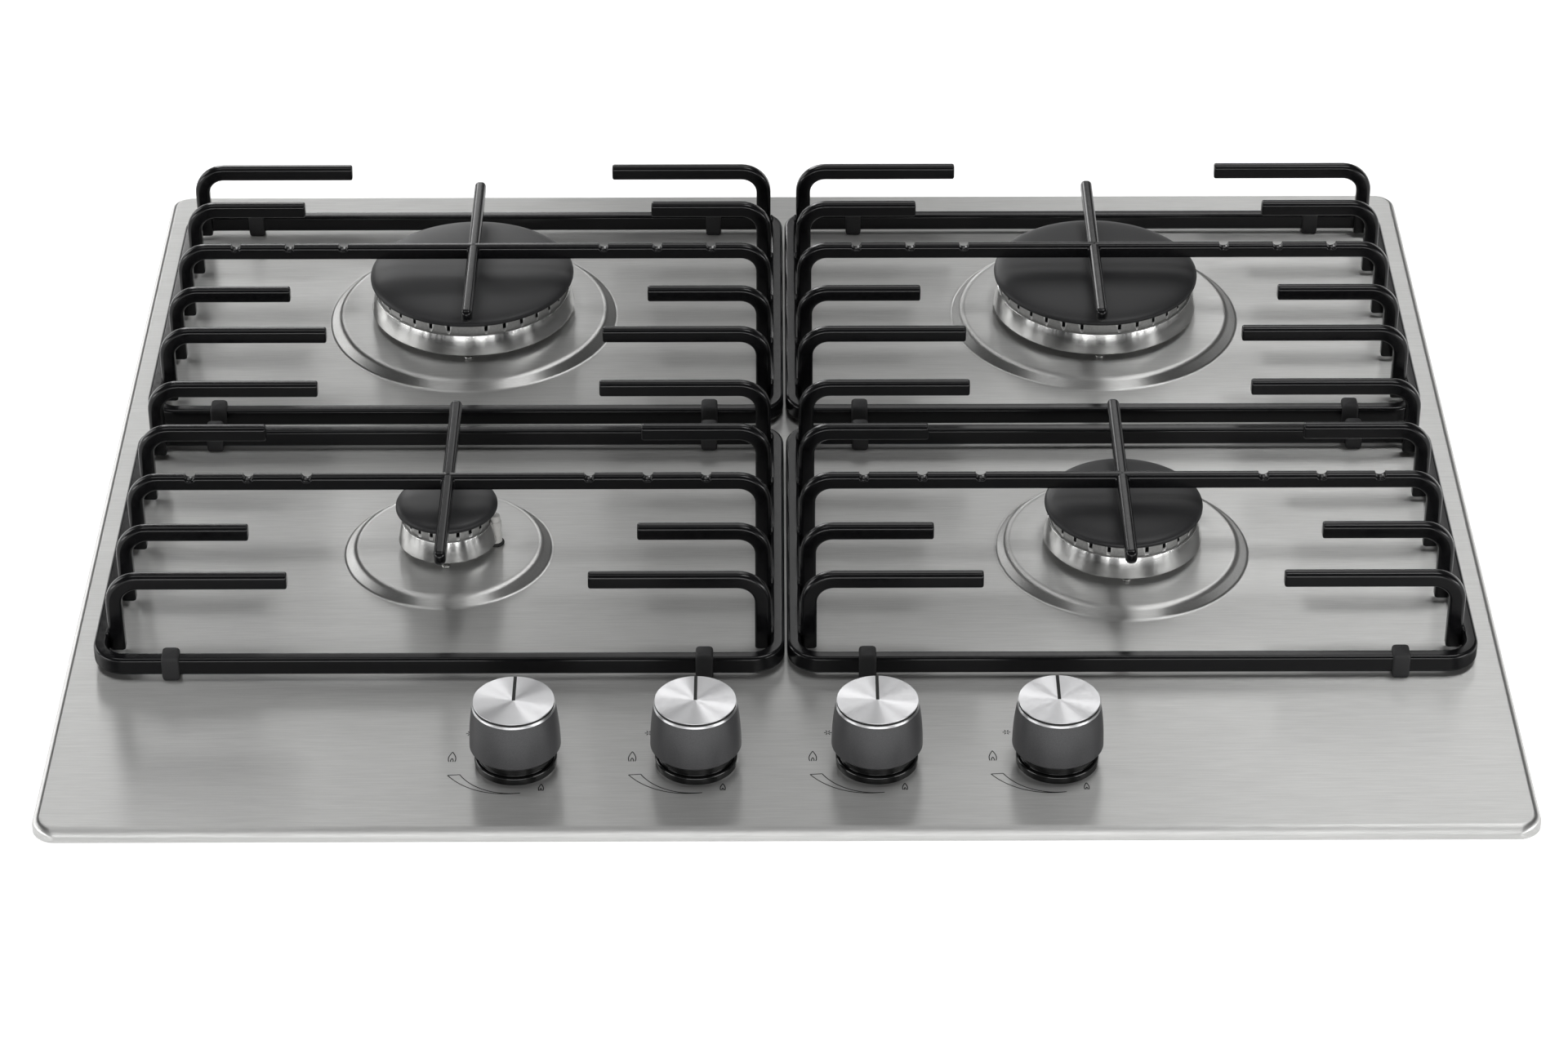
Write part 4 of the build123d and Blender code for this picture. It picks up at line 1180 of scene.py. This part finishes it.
class HOB_OT_knobs(bpy.types.Operator):
    """Make the knobs: skirt, turned disc with pointer, and the base ring"""

    bl_idname = "hob.knobs"
    bl_label = "Knobs"

    def execute(self, context):
        sizes = context.scene.hob_knobs
        finishes = {
            "skirt": satin_paint(sizes.skirt),
            "disc": spun_disc(sizes.disc),
            # black for the printed pointer and for the painted shade that fills the disc's groove
            "black": moulded("pointer_black", (0.004, 0.004, 0.004), 0.6, 0.75),
            "base": moulded("gloss_black_ring", sizes.base, 0.08, 0.14, 600, 0.02),
        }
        for knob in KNOBS:
            self.skirt(knob, sizes, finishes["skirt"])
            self.disc(knob, sizes, finishes)
        self.bezels(finishes["base"])
        return {"FINISHED"}

    def skirt(self, knob, sizes, finish):
        """Slightly convex body that narrows to the top."""
        axis = axis_of(f"knob_skirt_{knob}")
        low, high = corners(f"knob_skirt_{knob}")
        foot_r = high.x - axis.x
        top_r = 16.9 * MM
        base = low.z + 2.0 * MM
        wall = [(16.4 * MM, low.z)]
        steps = 12
        for step in range(steps + 1):
            share_up = step / steps
            radius = foot_r + (top_r - foot_r) * share_up + sizes.bulge * math.sin(math.pi * share_up) * 1.0
            wall.append((min(radius, foot_r), base + (high.z - base) * share_up))
        line = [(16.1 * MM, 17.6 * MM), (16.1 * MM, low.z), *wall, (0, high.z), (0, 17.6 * MM)]
        piece = turned_piece(f"knob_body_{knob}", line[::-1], axis)
        place(piece, f"knob_{knob}", finish, "knob_grey", [f"knob_skirt_{knob}"])

    def disc(self, knob, sizes, finishes):
        """Turned disc: polished bevel, groove filled with a black ring of painted shade, and spun face with the pointer
        line.
        """
        axis = axis_of(f"knob_disc_{knob}")
        low, high = corners(f"knob_disc_{knob}")
        radius = high.x - axis.x
        face_r = radius - 0.5 * MM
        groove_r = face_r - sizes.groove
        face_low = high.z - 0.45 * MM
        groove_low = face_low - 0.95 * MM
        line = rounded_line([
            (0, low.z, 0),
            (radius, low.z, 0.1 * MM),
            (radius - 0.25 * MM, groove_low, 0.3 * MM),
            (groove_r, groove_low, 0),
            (groove_r, face_low, 0),
            (face_r, face_low, 0.1 * MM),
            (face_r, high.z, 0.18 * MM),
            (0, high.z, 0),
        ], closed=False, steps=3)
        piece = turned_piece(f"turned_disc_{knob}", line, axis, sharp_angle=25)
        settle(piece)
        place(piece, f"knob_{knob}", finishes["disc"], "knob_disc", [f"knob_disc_{knob}"])
        # black ring that fills the groove: painted shade between the spun face and the bevel
        line = [
            (groove_r - 0.2 * MM, groove_low - 0.1 * MM),
            (face_r - 0.08 * MM, groove_low - 0.1 * MM),
            (face_r - 0.08 * MM, face_low + 0.1 * MM),
            (groove_r - 0.2 * MM, face_low + 0.1 * MM),
        ]
        groove = turned_piece(f"disc_groove_{knob}", line, axis)
        place(groove, f"knob_{knob}", finishes["black"], "knob_black")
        bm = bmesh.new()
        half = sizes.pointer_width / 2
        outline = [
            (axis.x - half, axis.y),
            (axis.x + half, axis.y),
            (axis.x + half, axis.y + face_r),
            (axis.x - half, axis.y + face_r),
        ]
        outline = [(x, y - 0.1 * MM) for x, y in outline]
        skin(bm, [ring_of(bm, outline, high.z - 0.2 * MM), ring_of(bm, outline, high.z + 0.02 * MM)], capped=True)
        pointer = mesh_object(bm, f"pointer_{knob}")
        place(pointer, f"knob_{knob}", finishes["black"], "knob_black")

    def bezels(self, finish):
        """Gloss black rings that stand on the plate, each with a flange under the knob."""
        high = corners("knob_bezels")[1]
        bm = bmesh.new()
        for knob in KNOBS:
            axis = axis_of(f"knob_skirt_{knob}")
            line = rounded_line([
                (3.6 * MM, PLATE_TOP, 0),
                (16.7 * MM, PLATE_TOP, 0),
                (16.7 * MM, PLATE_TOP + 3.3 * MM, 0.9 * MM),
                (15.2 * MM, PLATE_TOP + 3.3 * MM, 0.2 * MM),
                (15.2 * MM, high.z, 0.8 * MM),
                (3.6 * MM, high.z, 0.3 * MM),
            ], steps=4)
            turned(bm, line, axis, 96)
        piece = mesh_object(bm, "base_rings")
        place(piece, HOB, finish, "knob_black", ["knob_bezels"])


class HOB_OT_underside(bpy.types.Operator):
    """Finish the parts under the plate and inside the tray"""

    bl_idname = "hob.underside"
    bl_label = "Underside"

    def execute(self, context):
        aluminium = worked_metal("drawn_aluminium", (0.68, 0.68, 0.68), 0.28, 0.42)
        brass = worked_metal("machined_brass", (0.56, 0.40, 0.17), 0.18, 0.34)
        steel = worked_metal("plated_steel", (0.52, 0.52, 0.53), 0.25, 0.42)
        plastic = moulded("switch_strip_plastic", (0.03, 0.03, 0.033), 0.4, 0.55)
        foam = moulded("seal_foam", (0.035, 0.035, 0.036), 0.85, 0.98, 900, 0.6)
        finishes = {
            "burner_box": zinc_sheet(),
            "rim_seal": foam,
            "worktop_clamps": steel,
            "gas_rail": steel,
            "supply_pipes": aluminium,
            "pipe_nuts": brass,
            "injectors": brass,
            "inlet_elbow": brass,
            "tap_bodies": worked_metal("tap_alloy", (0.55, 0.54, 0.52), 0.35, 0.5),
            "switch_strip": plastic,
            "mains_gland": moulded("gland_nylon", (0.02, 0.02, 0.02), 0.4, 0.5),
            "ignition_module": moulded("module_plastic", (0.75, 0.74, 0.70), 0.4, 0.55),
            "ignition_leads": moulded("lead_silicone", (0.70, 0.68, 0.62), 0.5, 0.65),
        }
        for knob in KNOBS:
            finishes[f"tap_plug_{knob}"] = brass
            finishes[f"spindle_{knob}"] = steel
        for node, finish in finishes.items():
            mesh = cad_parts[node].data
            for index in range(len(mesh.materials)):
                mesh.materials[index] = finish
            if not mesh.materials:
                mesh.materials.append(finish)
        for knob in KNOBS:
            self.spring(knob, steel)
        return {"FINISHED"}

    def spring(self, knob, steel):
        """Coil of round wire with closed ends."""
        axis = axis_of(f"tap_spring_{knob}")
        low, high = corners(f"tap_spring_{knob}")
        wire_r = 0.4 * MM
        coil_r = (high.x - low.x) / 2 - wire_r
        turns, closed, sides = 4.5, 0.6, 36
        round_wire = [2 * math.pi * side / 10 for side in range(10)]
        rings = []
        for step in range(round(turns * sides) + 1):
            turn = step / sides
            risen = (min(max(turn, closed), turns - closed) - closed) / (turns - 2 * closed)
            angle = 2 * math.pi * turn
            out = Vector((math.cos(angle), math.sin(angle), 0))
            centre = axis + out * coil_r + Vector((0, 0, low.z + wire_r + (high.z - low.z - 2 * wire_r) * risen))
            rings.append([
                centre + out * wire_r * math.cos(a) + Vector((0, 0, wire_r * math.sin(a))) for a in round_wire
            ])
        bm = bmesh.new()
        skin(bm, [[bm.verts.new(point) for point in ring] for ring in rings], capped=True)
        piece = mesh_object(bm, f"return_spring_{knob}")
        place(piece, f"knob_{knob}", steel, "zinc_steel", [f"tap_spring_{knob}"])
        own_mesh(piece)


# lamp: where it stands, its width and height, and how bright its face is
LAMPS = {
    "back_left_a": ((-0.8, 2.2, 0.8), (0.4, 0.7), 6.0),
    "back_left_b": ((-0.4, 2.2, 0.8), (0.4, 0.7), 3.5),
    "back_high_a": ((-0.4, 2.2, 1.7), (0.4, 1.0), 0.6),
    "back_high_b": ((0.0, 2.2, 1.7), (0.4, 1.0), 1.3),
    "back_high_c": ((0.4, 2.2, 1.7), (0.4, 1.0), 2.1),
    "back_high_d": ((0.8, 2.2, 1.7), (0.4, 1.0), 0.9),
    "overhead_left": ((-0.8, 0.1, 2.3), (0.8, 0.8), 2.7),
    "overhead_middle": ((0.0, 0.1, 2.3), (0.8, 0.8), 0.9),
    "overhead_right": ((0.8, 0.1, 2.3), (0.8, 0.8), 6.0),
    "front_low": ((0.05, -2.8, 0.42), (2.4, 0.6), 4.5),
    "left_low": ((-2.4, -0.88, 0.36), (1.6, 0.5), 5.4),
    "right_low": ((2.1, -1.36, 0.36), (1.3, 0.5), 6.7),
    "left_back": ((-2.2, 1.05, 0.9), (1.4, 0.9), 3.5),
    "right_front": ((2.1, -1.36, 1.0), (1.3, 0.9), 0.5),
}


class HOB_OT_stage(bpy.types.Operator):
    """Set up the floor, the studio light and the camera"""

    bl_idname = "hob.stage"
    bl_label = "Stage"

    def execute(self, context):
        sizes = context.scene.hob_stage
        self.floor(sizes)
        self.world(context, sizes)
        for name, facts in LAMPS.items():
            self.lamp(name, *facts)
        camera = bpy.data.cameras.new("camera")
        camera.lens = sizes.lens
        camera.sensor_width = 36
        holder = bpy.data.objects.new("camera", camera)
        holder.location = sizes.camera_place
        holder.rotation_euler = Euler(sizes.camera_turn)
        show(holder)
        context.scene.camera = holder
        context.scene.view_settings.view_transform = "Standard"
        return {"FINISHED"}

    def floor(self, sizes):
        """Pale worktop with the cut-out that the tray hangs in, rising far away to a low rim."""
        high = corners("burner_box")[1]
        bm = bmesh.new()
        hole_x, hole_y = high.x - 2 * MM, high.y - 2 * MM
        sides = 96
        rings = [self.round_square(bm, hole_x, hole_y, 0, sides, 0)]
        for radius, height in ((0.9, 0), (5.0, 0), (5.6, 0.12), (6.0, 0.5), (6.1, 1.2)):
            rings.append(self.round_square(bm, radius, radius, height, sides, 1))
        skin(bm, rings)
        piece = mesh_object(bm, "worktop_floor", 80, outward=False)
        made, tree, shader = new_finish("pale_floor", sizes.floor, 0.0, 0.9)
        tree.links.new(self.seen_ray(tree, sizes.floor_glow), shader.inputs["Emission Strength"])
        shader.inputs["Emission Color"].default_value = (1, 1, 1, 1)
        piece.data.materials.append(made)

    def round_square(self, bm, half_x, half_y, height, sides, roundness):
        """Ring of points that is a rectangle at roundness 0 and an ellipse at 1."""
        ring = []
        for side in range(sides):
            angle = 2 * math.pi * (side + 0.5) / sides
            out = Vector((math.cos(angle), math.sin(angle)))
            reach = 1 if roundness else 1 / max(abs(out.x), abs(out.y))
            ring.append(bm.verts.new((out.x * reach * half_x, out.y * reach * half_y, height)))
        return ring

    def seen_ray(self, tree, strength):
        """A strength that holds only for what the camera sees, mirrored or through glass too."""
        ray = add(tree, "ShaderNodeLightPath")
        mirrored = add(tree, "ShaderNodeMath", operation="ADD")
        through = add(tree, "ShaderNodeMath", operation="ADD", use_clamp=True)
        level = add(tree, "ShaderNodeMath", {1: strength}, operation="MULTIPLY")
        tree.links.new(ray.outputs["Is Camera Ray"], mirrored.inputs[0])
        tree.links.new(ray.outputs["Is Glossy Ray"], mirrored.inputs[1])
        tree.links.new(mirrored.outputs[0], through.inputs[0])
        tree.links.new(ray.outputs["Is Transmission Ray"], through.inputs[1])
        tree.links.new(through.outputs[0], level.inputs[0])
        return level.outputs[0]

    def world(self, context, sizes):
        """Even grey light from all round."""
        world = bpy.data.worlds.new("studio")
        context.scene.world = world
        world.use_nodes = True
        world.node_tree.nodes["Background"].inputs["Color"].default_value = (sizes.sky, sizes.sky, sizes.sky, 1)

    def lamp(self, name, where, size, brightness):
        """Soft rectangular lamp that faces the hob and isn't seen itself."""
        light = bpy.data.lights.new(name, "AREA")
        light.shape = "RECTANGLE"
        light.size, light.size_y = size
        light.energy = brightness * math.pi * size[0] * size[1]
        holder = bpy.data.objects.new(name, light)
        holder.location = where
        holder.rotation_euler = (-Vector(where)).to_track_quat("-Z", "Y").to_euler()
        holder.visible_camera = False
        show(holder)


class HOB_PT_sidebar(bpy.types.Panel):
    """Steps that dress the hob"""

    bl_idname = "HOB_PT_sidebar"
    bl_label = "Gas hob"
    bl_space_type = "VIEW_3D"
    bl_region_type = "UI"
    bl_category = "Gas hob"

    def draw(self, context):
        for step in STEPS:
            self.layout.operator(step.bl_idname)


GROUPS = {
    "hob_plate": HobPlateSettings,
    "hob_burners": HobBurnerSettings,
    "hob_supports": HobSupportSettings,
    "hob_knobs": HobKnobSettings,
    "hob_stage": HobStageSettings,
}
STEPS = (HOB_OT_plate, HOB_OT_burners, HOB_OT_supports, HOB_OT_knobs, HOB_OT_underside, HOB_OT_stage)


def register():
    """Make the settings, the operators and the panel known."""
    for name, group in GROUPS.items():
        bpy.utils.register_class(group)
        setattr(bpy.types.Scene, name, PointerProperty(type=group))
    for kind in (*STEPS, HOB_PT_sidebar):
        bpy.utils.register_class(kind)


def unregister():
    """Take everything away again."""
    for kind in (HOB_PT_sidebar, *reversed(STEPS)):
        bpy.utils.unregister_class(kind)
    for name, group in GROUPS.items():
        delattr(bpy.types.Scene, name)
        bpy.utils.unregister_class(group)


def main():
    """Run each step."""
    register()
    bpy.ops.hob.plate()
    bpy.ops.hob.burners()
    bpy.ops.hob.supports()
    bpy.ops.hob.knobs()
    bpy.ops.hob.underside()
    bpy.ops.hob.stage()


if __name__ == "__main__":
    main()
